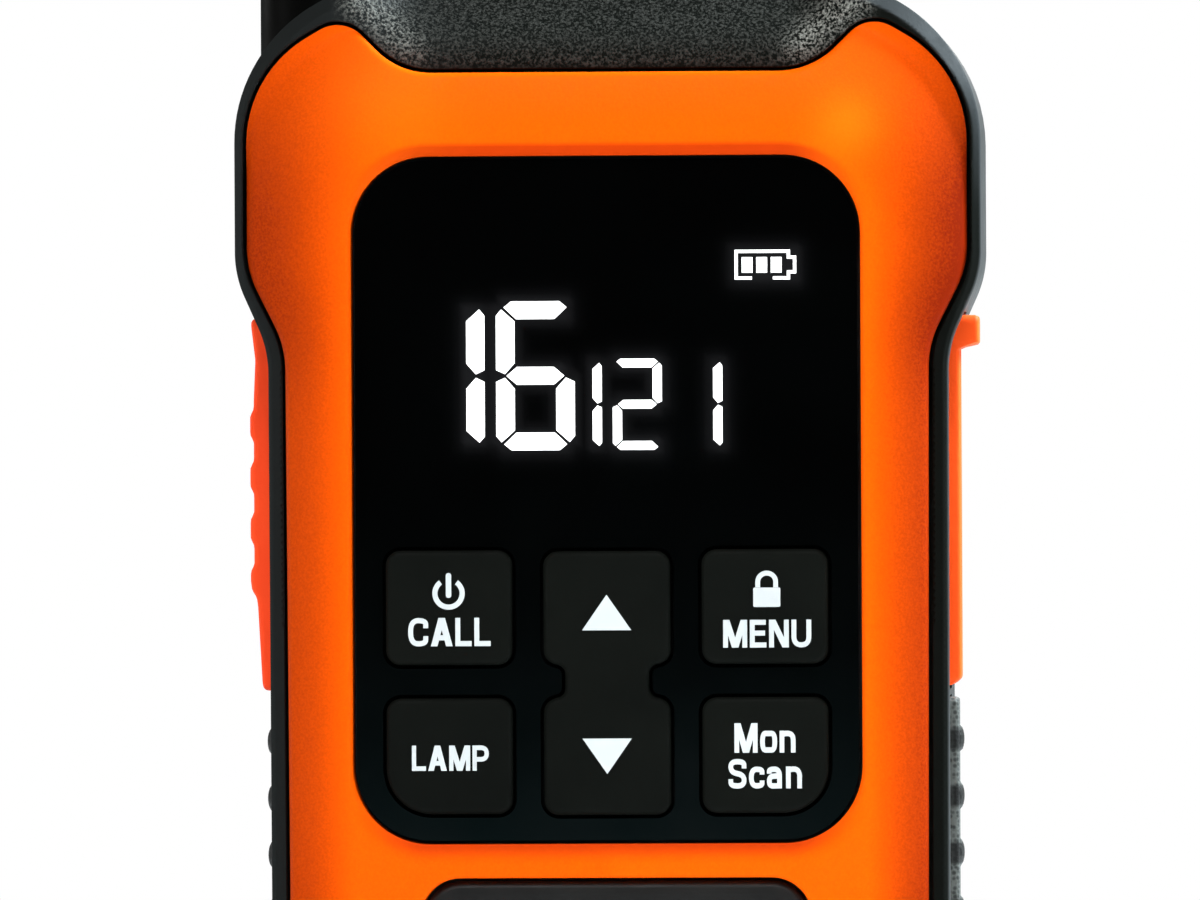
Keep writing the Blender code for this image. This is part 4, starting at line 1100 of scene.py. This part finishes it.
def key_signs():
    """Generic function words and signs printed on the keys."""
    face = box("call_key")[0].y + 0.05
    for name, text, key, right, up, width, height in (
            ("call_word", "CALL", "call_key", 0.05, -1.96, 6.7, 2.3),
            ("menu_word", "MENU", "menu_key", 0.2, -2.2, 7.15, 2.25),
            ("lamp_word", "LAMP", "lamp_key", 0.08, -0.14, 6.25, 2.05),
            ("mon_word", "Mon", "scan_key", 0, 1.4, 5.0, 2.4),
            ("scan_word", "Scan", "scan_key", 0, -1.5, 6.0, 2.4)):
        centre = middle(key)
        word(name, text, (centre.x + right, centre.z + up), width, height, face, key)
    power_sign(face)
    lock_sign(face)
    level = middle("up_down_key").z
    for side, name, rise in ((1, "up_sign", 4.28), (-1, "down_sign", -4.5)):
        base = level + rise
        arrow = [(-2.0, base), (2.0, base), (0, base + side * 2.88)]
        flat_sign(name, [arrow[::side]], face, "up_down_key")


# ---- lit display ----------------------------------------------------------------------------
SEGMENTS = {"1": "bc", "2": "abged", "6": "afgecd"}


def digit_shapes(text, left, low, width, height, stroke):
    """Outlines of the lit bars of a seven-segment digit, whose ends are mitred."""
    wide, half = width / stroke, height / stroke / 2
    upright = [(0, 0.33), (0.5, 0.1), (1.05, 0.72), (1.05, half - 1.12), (0.3, half - 0.45),
               (0, half - 0.8)]
    level = [(0.44, half - 0.34), (0.85, half), (wide - 0.85, half), (wide - 0.44, half - 0.34),
             (wide - 1.13, half - 1.0), (1.13, half - 1.0)]
    centre_bar = [(0.58, 0), (1.17, 0.5), (wide - 1.17, 0.5), (wide - 0.58, 0),
                  (wide - 1.17, -0.5), (1.17, -0.5)]
    places = {"a": (level, 1, 1), "b": (upright, -1, 1), "c": (upright, -1, -1),
              "d": (level, 1, -1), "e": (upright, 1, -1), "f": (upright, 1, 1),
              "g": (centre_bar, 1, 1)}
    shapes = []
    for segment in SEGMENTS[text]:
        outline, side, upward = places[segment]
        start = left if side > 0 else left + width
        shapes.append([(start + side * u * stroke, low + height / 2 + upward * v * stroke)
                       for u, v in outline])
    return [anticlockwise(shape) for shape in shapes]


def battery_shapes(left, low, width, height):
    """Battery sign: open outline, end cap and three level bars."""
    line, foot, pitch = 0.26, 1.4, 1.18
    right, high, end = left + width * 0.9, low + height, left + width
    cap_low, cap_high = low + height * 0.2, high - height * 0.2
    outline = [(left, low), (left + foot, low), (left + foot, low + line),
               (left + line, low + line), (left + line, high - line),
               (right - line, high - line), (right - line, cap_high - line),
               (end - line, cap_high - line), (end - line, cap_low + line),
               (right - line, cap_low + line), (right - line, low + line),
               (right - foot, low + line), (right - foot, low), (right, low),
               (right, cap_low), (end, cap_low), (end, cap_high), (right, cap_high),
               (right, high), (left, high)]
    bars = [bar(left + 1.02 + pitch * k, (low + high) / 2 - 0.02, 0.88, height - 1.15)
            for k in range(3)]
    return [anticlockwise(outline)] + bars


def lit_display():
    """Channel number, code number and battery sign; returns the boxes that they light."""
    base = LCD_LOW.z + 3.0
    centre = (LCD_LOW.x + LCD_HIGH.x) / 2
    tall, small = (12.1, 6.4, 1.45), (7.4, 4.0, 0.72)
    shapes = []
    for digit, right, (height, width, stroke) in (
            ("1", -16.3, (12.1, 6.45, 1.42)), ("6", -8.92, tall), ("1", -4.33, small),
            ("2", 0.55, small), ("1", 5.46, small)):
        shapes += digit_shapes(digit, centre + right, base, width, height, stroke)
    shapes += battery_shapes(centre + 10.5, base + 13.76, 5.0, 2.42)
    flat_sign("lit_signs", shapes, PANEL_FRONT + 0.01, "housing", DISPLAY_LIGHT,
              PRINT_HEIGHT / 2)
    spans = [([p[0] for p in shape], [p[1] for p in shape]) for shape in shapes]
    return [(min(us), max(us), min(vs), max(vs)) for us, vs in spans]


# ---- speaker --------------------------------------------------------------------------------
def speaker_plate():
    """Charcoal plate with seven sound slots."""
    reach, pitch, slot, edge_radius, slot_radius = 12.8, 3.2, 1.3, 0.6, 0.3
    centre = (GRILLE_LOW.x + GRILLE_HIGH.x) / 2
    holes = []
    for index in range(-3, 4):
        half, z = math.sqrt(reach ** 2 - (pitch * index) ** 2), SPEAKER.z + pitch * index
        holes.append(rectangle(centre - half, centre + half, z - slot / 2, z + slot / 2,
                               slot * 0.48))

    def depth(points, edges):
        slots = np.min(edges[1:], axis=0)
        return GRILLE_LOW.y + round_edge(edges[0], edge_radius) + round_edge(slots, slot_radius)

    data = relief("speaker_plate", grille_corners(), holes, depth, GRILLE_HIGH.y, 0.8,
                  rings=(0.06, 0.15, 0.3, 0.55), steps=10)
    add_piece("speaker_plate", data, CHARCOAL, "housing", ["speaker_grille"],
              50)


# ---- sides ----------------------------------------------------------------------------------
def talk_button():
    """Soft button: four finger ridges, a tapered lower end and a flared upper one."""
    crest, ridge, pitch = -PTT_LOW.x, 0.3, 4.25
    low = PTT_LOW.z + 0.9
    ridges = [low + 9.0 + pitch * k for k in range(4)]
    heights = (low, low + 6.9, ridges[0], ridges[3] + 1.95, ridges[3] + 5.35, PTT_HIGH.z)
    reaches = (crest - 0.95, crest - 0.58, crest - ridge, crest - ridge, crest - 0.45,
               crest - 0.05)

    def depth(points, edges):
        z = points[:, 1]
        nearest = np.min([np.abs(z - height) for height in ridges], axis=0)
        raised = ridge * (1 - smoothstep(0.15 * pitch, 0.35 * pitch, nearest))
        return -(np.interp(z, heights, reaches) + raised - round_edge(edges[0], 0.45))

    outline = rectangle(PTT_LOW.y + 0.9, PTT_HIGH.y, low, PTT_HIGH.z, 0.9)
    data = relief("talk_button", outline, [], depth, PTT_HIGH.x - 0.5, spacing=0.3,
                  rings=(0.05, 0.14, 0.28, 0.45), axis="X", steps=8)
    add_piece("talk_button", data, ORANGE_RUBBER, "ptt_button", ["ptt_button"],
              60)


def socket_cover():
    """Orange rubber flap with a pull tab at its top."""
    low, high = COVER_LOW, COVER_HIGH
    face = high.x - 1.55

    def depth(points, edges):
        z = points[:, 1]
        tab = smoothstep(high.z - 2.6, high.z - 2.35, z) * (high.x - face)
        hinge = np.clip((z - low.z) / 0.8, 0, 1)
        return face + tab - 0.7 * (1 - hinge) ** 2 - round_edge(edges[0], 0.3)

    data = relief("socket_cover", rectangle(low.y, high.y, low.z, high.z, 0.7), [], depth,
                  low.x, spacing=0.3, rings=(0.05, 0.14, 0.28), axis="X", steps=8)
    add_piece("socket_cover", data, COVER_RUBBER, "accessory_cover", ["accessory_cover"],
              60)


def side_grip(side, node_name):
    """Rubber strip with nine lens-shaped ribs on one flank."""
    low, high = box(node_name)
    ribs = [TOP_RIB - RIB_PITCH * k for k in range(9)]
    centre, half = middle(node_name).y, (high.y - low.y) / 2
    strip_rise, rib_rise, rib_half = 0.7, 0.4, 1.1

    def nearest_rib(points):
        return np.min([np.abs(points[:, 1] - rib) for rib in ribs], axis=0)

    def depth(points, edges):
        shell = BASE_HALF + (WAIST_HALF - BASE_HALF) * points[:, 1] / WAIST_TOP
        across = ((points[:, 0] - centre) / (half - 0.5)) ** 2
        lens = np.clip(1 - across - (nearest_rib(points) / rib_half) ** 2, 0, 1) ** 0.5
        return side * (shell + strip_rise + rib_rise * lens - round_edge(edges[0], 0.3))

    # one on the ribs, whose near-black colour is painted shade
    def rib(points, edges):
        return 1 - smoothstep(0.7, rib_half, nearest_rib(points))

    outline = rectangle(low.y, high.y, low.z, high.z + GRIP_RISE, 0.5)
    data = relief(node_name + "_ribs", outline, [], depth, side * GRIP_LOW.x, spacing=0.25,
                  rings=(0.06, 0.18), axis="X", steps=6, attributes={"rib": rib})
    add_piece(node_name + "_ribs", data, GRIP_RUBBER, "housing", [node_name],
              60)


# ---- rear -----------------------------------------------------------------------------------
def stepped_bore(narrow, start, wide, step, end):
    """Profile of a bore that widens at a step."""
    return [(0, start), (narrow, start), (narrow, step), (wide, step), (wide, end), (0, end)]


def rear_cavities():
    """Solids that hollow out the rear shell: battery bay, body cavity and upper pocket."""
    body = offset(shell_corners(BODY_HEIGHT - 2.2), WALL)
    pocket = rectangle(-18, 25, BATTERY_TOP + 3, BODY_HEIGHT - 5.4, 6)
    return [cuboid((-FAR, BAY_BACK, -5), (FAR, BACK + 5, BATTERY_TOP + GAP)),
            prism("cavity", body, SPLIT - 1, BAY_BACK - 1.8, steps=10),
            prism("cavity", pocket, -1, BACK - BACK_DROP)]


def side_recesses():
    """Blocks cut from the flanks for the button, the flap, its sockets and the grips."""
    front, back = PTT_LOW.y + 0.9 - GAP, COVER_HIGH.y + GAP
    grip_front, grip_back = GRIP_LOW.y - GAP, GRIP_HIGH.y + GAP
    grip_top = GRIP_HIGH.z + GRIP_RISE + 0.2
    grip_floor, foot = GRIP_LOW.x - GAP, GRIP_LOW.z - GAP
    usb_low, usb_high = box("usb_socket")
    jack_low, jack_high = box("earpiece_jack")
    jack_radius = (jack_high.z - jack_low.z) / 2
    outer_wall = (22, 30)
    return [
        cuboid((-FAR, front, PTT_LOW.z + 0.6), (PTT_HIGH.x, back, PTT_HIGH.z + GAP)),
        cuboid((COVER_LOW.x - GAP, front, COVER_LOW.z - GAP), (FAR, back, COVER_HIGH.z + GAP)),
        cuboid((outer_wall[0], usb_high.y - 3.5, usb_low.z - GAP),
               (outer_wall[1], usb_high.y + GAP, usb_high.z + GAP)),
        rod((jack_high.y - jack_radius, jack_low.z + jack_radius), jack_radius + GAP,
            *outer_wall, "X"),
        cuboid((grip_floor, grip_front, foot), (FAR, grip_back, grip_top)),
        cuboid((-FAR, grip_front, foot), (-grip_floor, grip_back, grip_top))]


def grooves(spans, heights, width, depth, radius):
    """Grooves across the back between pairs of x, each at its own height."""
    return [prism("groove", rectangle(low, high, z, z + width, radius), BACK - depth, BACK + 1,
                  steps=4) for low, high in spans for z in heights]


def rear_shell():
    """Rear half of the housing, with the battery bay, side recesses and screw wells."""
    data = loft("rear_shell", shell_sections(shell_corners(), SPLIT + 0.02, 3.2))
    antenna, torch = middle("antenna"), middle("torch_lens")
    torch_radius, torch_foot = box("torch_lens")[1].x, box("torch_reflector")[0].z
    posts = [(middle(name).x, middle(name).z) for name in SCREWS]
    top = BODY_HEIGHT + 7
    data = carve(data, rear_cavities())
    ends = [BAY_BACK - 1.3 if z < BATTERY_TOP else BACK - 3.0 for _, z in posts]
    bosses = [rod(post, 2.9, SPLIT + GAP, end) for post, end in zip(posts, ends)]
    bosses.append(rod((0, torch.y), torch_radius + 1.9, torch_foot - 1.4, BODY_HEIGHT - 4, "Z"))
    data = carve(data, bosses, "UNION")
    screw_well = stepped_bore(SCREW_BORE, SPLIT - 1, 2.4, BAY_BACK - 1.65, BACK + 1)
    antenna_well = stepped_bore(1.9, ANTENNA_LOW.z - 6.8, ANTENNA_RADIUS + GAP,
                                ANTENNA_LOW.z - GAP, top)
    torch_well = stepped_bore(2.2, torch_foot - 5, torch_radius + GAP, torch_foot - 0.4, top)
    data = carve(data, [
        *[turned("well", screw_well, post, steps=36) for post in posts],
        turned("well", antenna_well, (antenna.x, antenna.y), "Z", 40),
        turned("well", torch_well, (0, torch.y), "Z", 40),
        *side_recesses(), *contact_windows(0, BACK), rod((0, LOCK.z), LOCK_BORE, 0, BACK),
        *grooves([(-17.5, 17.5)], (88.0, 91.2, 94.4), 0.9, 0.45, 0.4)])
    add_piece("rear_shell", data, SHELL, "housing", ["rear_housing"], 35)


def screw_with_cross(node_name, body):
    """Pan head screw with a cross recess, along Y."""
    low, high = box(node_name)
    centre = middle(node_name)
    x, z = centre.x, centre.z
    head = (high.x - low.x) / 2
    shank, dome = 1.1, 0.45
    seat = high.y - (1.2 if head > 2 else 0.7)
    crown = [(head * math.cos(a) ** 0.8, high.y - dome + dome * math.sin(a))
             for a in quarter(6)[1:-1]]
    profile = [(0, low.y), (shank - 0.2, low.y), (shank, low.y + 0.3), (shank, seat),
               (head, seat), (head, high.y - dome), *crown, (0, high.y)]
    data = turned(node_name, profile, (x, z), steps=36)
    arm, width = head * 0.62, head * 0.2
    data = carve(data, [cuboid((x - a, high.y - 0.6, z - b), (x + a, high.y + 1, z + b))
                        for a, b in ((arm, width), (width, arm))])
    add_piece(node_name + "_fine", data, STEEL, body, [node_name], 30)


def battery():
    """Battery pack with a rounded back, a well for its lock and grip ribs at its foot."""
    corners = both_sides([(BASE_HALF, 0, BASE_CORNER), (BATTERY_HIGH.x, BATTERY_TOP, 2.5)])
    data = loft("battery", shell_sections(corners, BATTERY_LOW.y, 2.45))
    lock = (0, LOCK.z)
    lock_well = [(0, BACK - 2.1), (4.5, BACK - 2.1), (4.5, BACK - 0.3), (4.9, BACK + 0.1),
                 (4.9, BACK + 1), (0, BACK + 1)]
    data = carve(data, [
        *[rod((middle(name).x, middle(name).z), SCREW_BORE, BACK - 5, BACK + 1)
          for name in CLIP_SCREWS],
        rod(lock, LOCK_BORE, BATTERY_LOW.y - 1, BACK + 1),
        turned("well", lock_well, lock, steps=48),
        *contact_windows(0, BATTERY_LOW.y + 1.2),
        *grooves([(-22.5, -13.5), (13.5, 22.5)], (6.0, 8.4, 10.8, 13.2), 1.0, 0.5, 0.45)])
    add_piece("battery_shell", data, SHELL, "battery", ["battery_pack"], 35)


def lock_disc():
    """Quarter-turn lock with a coin slot."""
    low, high = box("battery_lock")
    radius, stem, seat, edge = high.x, 1.6, BACK - 1.8, high.y - 0.45
    profile = [(0, low.y), (stem, low.y), (stem, seat), (radius, seat),
               *arc_profile(radius, edge, 0.4), (0, high.y)]
    data = turned("lock_disc", profile, (0, LOCK.z), steps=64)
    slot = rectangle(-3.2, 3.2, LOCK.z - 0.6, LOCK.z + 0.6, 0.5)
    data = carve(data, [prism("slot", slot, high.y - 1.1, high.y + 1, steps=5)])
    add_piece("lock_disc", data, CHARCOAL, "battery_lock", ["battery_lock"],
              35)


def clip():
    """Sprung belt clip: one curved lever with rounded edges, pin lugs and thumb grooves."""
    lever = anticlockwise([
        (22.3, 81.5, 0.5), (22.0, 76.5, 1.0), (18.9, 74.6, 1.2), (18.9, 69.4, 1.2),
        (21.9, 67.5, 1.0), (21.9, 28.0, 6.0), (17.6, 17.6, 3.0), (16.5, 15.4, 0.5),
        (18.2, 13.4, 1.0), (20.6, 16.0, 3.0), (23.7, 27.0, 6.0), (23.7, 76.5, 3.0),
        (24.1, 81.5, 0.7)])
    edge = 0.45
    sections = [(edge * (1 - math.sin(a)), -CLIP_HALF + edge * (1 - math.cos(a)))
                for a in quarter(5)]
    sections += [(inset, -x) for inset, x in reversed(sections)]
    data = loft("clip", [(rounded(offset(lever, inset), 8), x) for inset, x in sections], "X")
    data = carve(data, [
        rod((PIN.y, PIN.z), 1.3, -12, 12, "X", 40),
        cuboid((-5.9, BACK, PIN.z - 3.1), (5.9, BACK + 12, PIN.z + 3.1)),
        *[rod((24.4, z), 0.6, -6.5, 6.5, "X", 20) for z in (77.4, 78.8, 80.2)]])
    add_piece("clip_lever", data, SHELL, "belt_clip", ["belt_clip"], 35)


def clip_spring():
    """Torsion spring round the pin, with one leg on the base and one on the lever."""
    mean, wire, turns, start, per_turn = 2.0, 0.34, 4.5, -3.6, 36
    total = int(turns * per_turn)
    coil = [(start - 2 * start * s / total,
             PIN.y + mean * math.cos(math.pi - math.tau * turns * s / total),
             PIN.z + mean * math.sin(math.pi - math.tau * turns * s / total))
            for s in range(total + 1)]
    first, last = PIN.y - mean, PIN.y + mean
    route = [(start, first, PIN.z - 5.0), (start, first, PIN.z - 2.5), *coil,
             (-start, last, PIN.z - 1.4), (-start, last, PIN.z - 2.5)]
    add_piece("spring_coil", tube("spring_coil", route, wire), STEEL, "battery",
              ["clip_spring"], 60)


# ---- top ------------------------------------------------------------------------------------
def antenna():
    """Rubber antenna: ringed base, slight taper and a round tip."""
    low, high = ANTENNA_LOW, ANTENNA_HIGH
    centre = middle("antenna")
    radius, groove, ring_pitch, tip_length = ANTENNA_RADIUS, 0.25, 1.5, 2.9
    tip, collar = radius - 0.65, radius - 0.32
    profile = [(0, low.z), (radius, low.z), (radius, BODY_HEIGHT + 1.6)]
    for ring in range(3):
        base = BODY_HEIGHT + 1.8 + ring * ring_pitch
        profile += [(radius - groove, base), (radius - groove, base + 0.4),
                    (radius - 0.02, base + 0.6), (radius - 0.02, base + 1.3)]
    profile.append((radius - 0.3, BODY_HEIGHT + 7.0))
    foot, shoulder = BODY_HEIGHT + 8, high.z - tip_length
    profile += [(collar - (collar - tip) * s / 10, foot + (shoulder - foot) * s / 10)
                for s in range(11)]
    profile += [(tip * math.cos(a), shoulder + tip_length * math.sin(a))
                for a in quarter(10)[1:-1]]
    data = turned("antenna_sheath", profile + [(0, high.z)], (centre.x, centre.y), "Z", 56)
    add_piece("antenna_sheath", data, ANTENNA_RUBBER, "housing", ["antenna"],
              50)


def torch():
    """Clear domed lens over a bright reflector cup."""
    low, high = box("torch_lens")
    centre, radius, rim = (0, middle("torch_lens").y), high.x, low.z + 1.3
    dome = [(radius * math.cos(a), rim + (high.z - rim) * math.sin(a))
            for a in quarter(8)[:-1]]
    lens = turned("lens", [(0, low.z), (radius, low.z), *dome, (0, high.z)], centre, "Z", 56)
    add_piece("torch_window", lens, GLASS, "housing", ["torch_lens"], 40)
    low, high = box("torch_reflector")
    mouth, floor = radius - 0.35, low.z + 0.6
    throat = 1.7
    bowl = [(throat + (mouth - throat) * (s / 8) ** 0.6, floor + (high.z - floor) * s / 8)
            for s in range(8, -1, -1)]
    cup = turned("cup", [(throat, low.z), (radius, low.z), (radius, high.z), *bowl], centre,
                 "Z", 56)
    add_piece("torch_cup", cup, REFLECTOR, "housing", ["torch_reflector"], 40)


# ---- pieces that keep their CAD shape -------------------------------------------------------
CAD_LOOKS = {
    "lcd_module": PANEL, "lcd_backlight": WHITE_PLASTIC, "keypad_mat": BLACK_RUBBER,
    "housing_seal": BLACK_RUBBER, "speaker_screen": BLACK_RUBBER, "speaker": STEEL,
    "microphone": STEEL, "main_board": BOARD, "rf_shield": STEEL, "ptt_switch": CHARCOAL,
    "usb_socket": STEEL, "earpiece_jack": CHARCOAL, "antenna_stud": BRASS,
    "torch_led": WHITE_PLASTIC, "clip_base": SHELL, "clip_pin": STEEL,
    "battery_contact_left": BRASS, "battery_contact_right": BRASS,
    "battery_terminal_left": BRASS, "battery_terminal_right": BRASS,
    "call_switch": STEEL, "menu_switch": STEEL, "lamp_switch": STEEL, "scan_switch": STEEL,
    "up_switch": STEEL, "down_switch": STEEL}


def dress_cad():
    for name, material in CAD_LOOKS.items():
        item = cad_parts[name]
        item = item if isinstance(item, bpy.types.Object) else bpy.data.objects[name]
        for slot in item.material_slots:
            slot.material = material


# ---- stage ----------------------------------------------------------------------------------
def add_light(name, place, aim, width, height, power, colour):
    """Rectangular light; its place, its aim and its size are in metres."""
    lamp = bpy.data.lights.new(name, "AREA")
    lamp.shape, lamp.size, lamp.size_y = "RECTANGLE", width, height
    lamp.energy, lamp.color = power, colour
    item = bpy.data.objects.new(name, lamp)
    item.location = place
    item.visible_camera = False
    item.rotation_euler = (Vector(aim) - Vector(place)).to_track_quat("-Z", "Y").to_euler()
    bpy.context.scene.collection.objects.link(item)


def stage():
    """Pale floor and soft lights."""
    radius, sides, sunk_m = 1.0, 96, 0.0002
    floor = bpy.data.meshes.new("floor")
    rim = [(radius * math.cos(math.tau * k / sides), radius * math.sin(math.tau * k / sides),
            0) for k in range(sides)]
    floor.from_pydata(rim, [], [tuple(range(sides))])
    floor.materials.append(grained("floor_paper", (0.8, 0.8, 0.8), (0.83, 0.83, 0.83), 0.8,
                                   60.0, 0.05, 0.0004))
    item = bpy.data.objects.new("floor", floor)
    item.location.z = -sunk_m
    bpy.context.scene.collection.objects.link(item)
    body, shoulder, white = (0, 0, 0.08), (0.03, 0, 0.1), (1, 1, 1)
    add_light("key_light", (0.0, -0.9, 1.0), body, 0.8, 0.5, 14.0, white)
    add_light("left_fill", (-1.0, -0.7, 0.3), body, 0.4, 0.6, 4.0, white)
    add_light("right_fill", (1.0, -0.6, 0.3), body, 0.4, 0.6, 3.9, white)
    add_light("back_light", (0.5, 0.9, 0.7), body, 0.6, 0.4, 8.0, white)
    add_light("left_rim", (-0.8, 0.35, 0.2), body, 0.3, 0.7, 2.0, white)
    add_light("right_rim", (0.22, 0.05, 0.28), shoulder, 0.12, 0.12, 3.2, (0.8, 0.93, 1.0))


def surround():
    """White behind the object, dimmer as a light source, dark in front like a black flag."""
    world = bpy.data.worlds.new("surround")
    bpy.context.scene.world = world
    world.use_nodes = True
    world.node_tree.nodes.clear()
    way = node(world, "ShaderNodeSeparateXYZ")
    link(world, node(world, "ShaderNodeTexCoord").outputs["Generated"], way.inputs[0])
    ramp = remap(world, way.outputs["Y"], -0.97, -0.3, 0.0, 0.14)
    card = remap(world, way.outputs["Z"], -0.019, -0.034, 0.0, 1.0)
    below = mix_colours(world, card, (0, 0, 0), (0.1, 0.26, 0.28))
    lit = node(world, "ShaderNodeBackground", Strength=1.0)
    link(world, mix_colours(world, 1.0, ramp, below, "ADD"), lit.inputs["Color"])
    seen = node(world, "ShaderNodeBackground", Color=(1, 1, 1, 1), Strength=1.0)
    blend = node(world, "ShaderNodeMixShader")
    rays = node(world, "ShaderNodeLightPath").outputs["Is Camera Ray"]
    for index, source in enumerate((rays, lit.outputs[0], seen.outputs[0])):
        link(world, source, blend.inputs[index])
    link(world, blend.outputs[0], node(world, "ShaderNodeOutputWorld").inputs[0])


def camera():
    """Long lens, level, turned slightly towards the right flank, close on the front."""
    yaw, roll, distance_m, view_width = math.radians(2.7), math.radians(-0.29), 1.2, 97.3
    target = Vector((-0.46, BEZEL_FRONT, BODY_HEIGHT - 38.1)) * MM
    data = bpy.data.cameras.new("camera")
    data.sensor_width = 36.0
    data.lens = data.sensor_width * distance_m / (view_width * MM)
    data.clip_end = 50.0
    item = bpy.data.objects.new("camera", data)
    item.location = target + Vector((math.sin(yaw), -math.cos(yaw), 0)) * distance_m
    level = (target - item.location).to_track_quat("-Z", "Y")
    item.rotation_euler = (level @ Quaternion((0, 0, 1), roll)).to_euler()
    bpy.context.scene.collection.objects.link(item)
    bpy.context.scene.camera = item


camera()
stage()
surround()
bpy.context.scene.view_settings.view_transform = "Standard"
face_plate()
front_frame()
frame_floor()
display_panel(lit_display())
for key_name in KEY_NODES:
    key_cap(key_name)
key_signs()
speaker_plate()
talk_button()
socket_cover()
side_grip(-1, "side_grip_left")
side_grip(1, "side_grip_right")
rear_shell()
for screw_name in SCREWS:
    screw_with_cross(screw_name, "housing")
battery()
for screw_name in CLIP_SCREWS:
    screw_with_cross(screw_name, "battery")
lock_disc()
clip()
clip_spring()
antenna()
torch()
dress_cad()
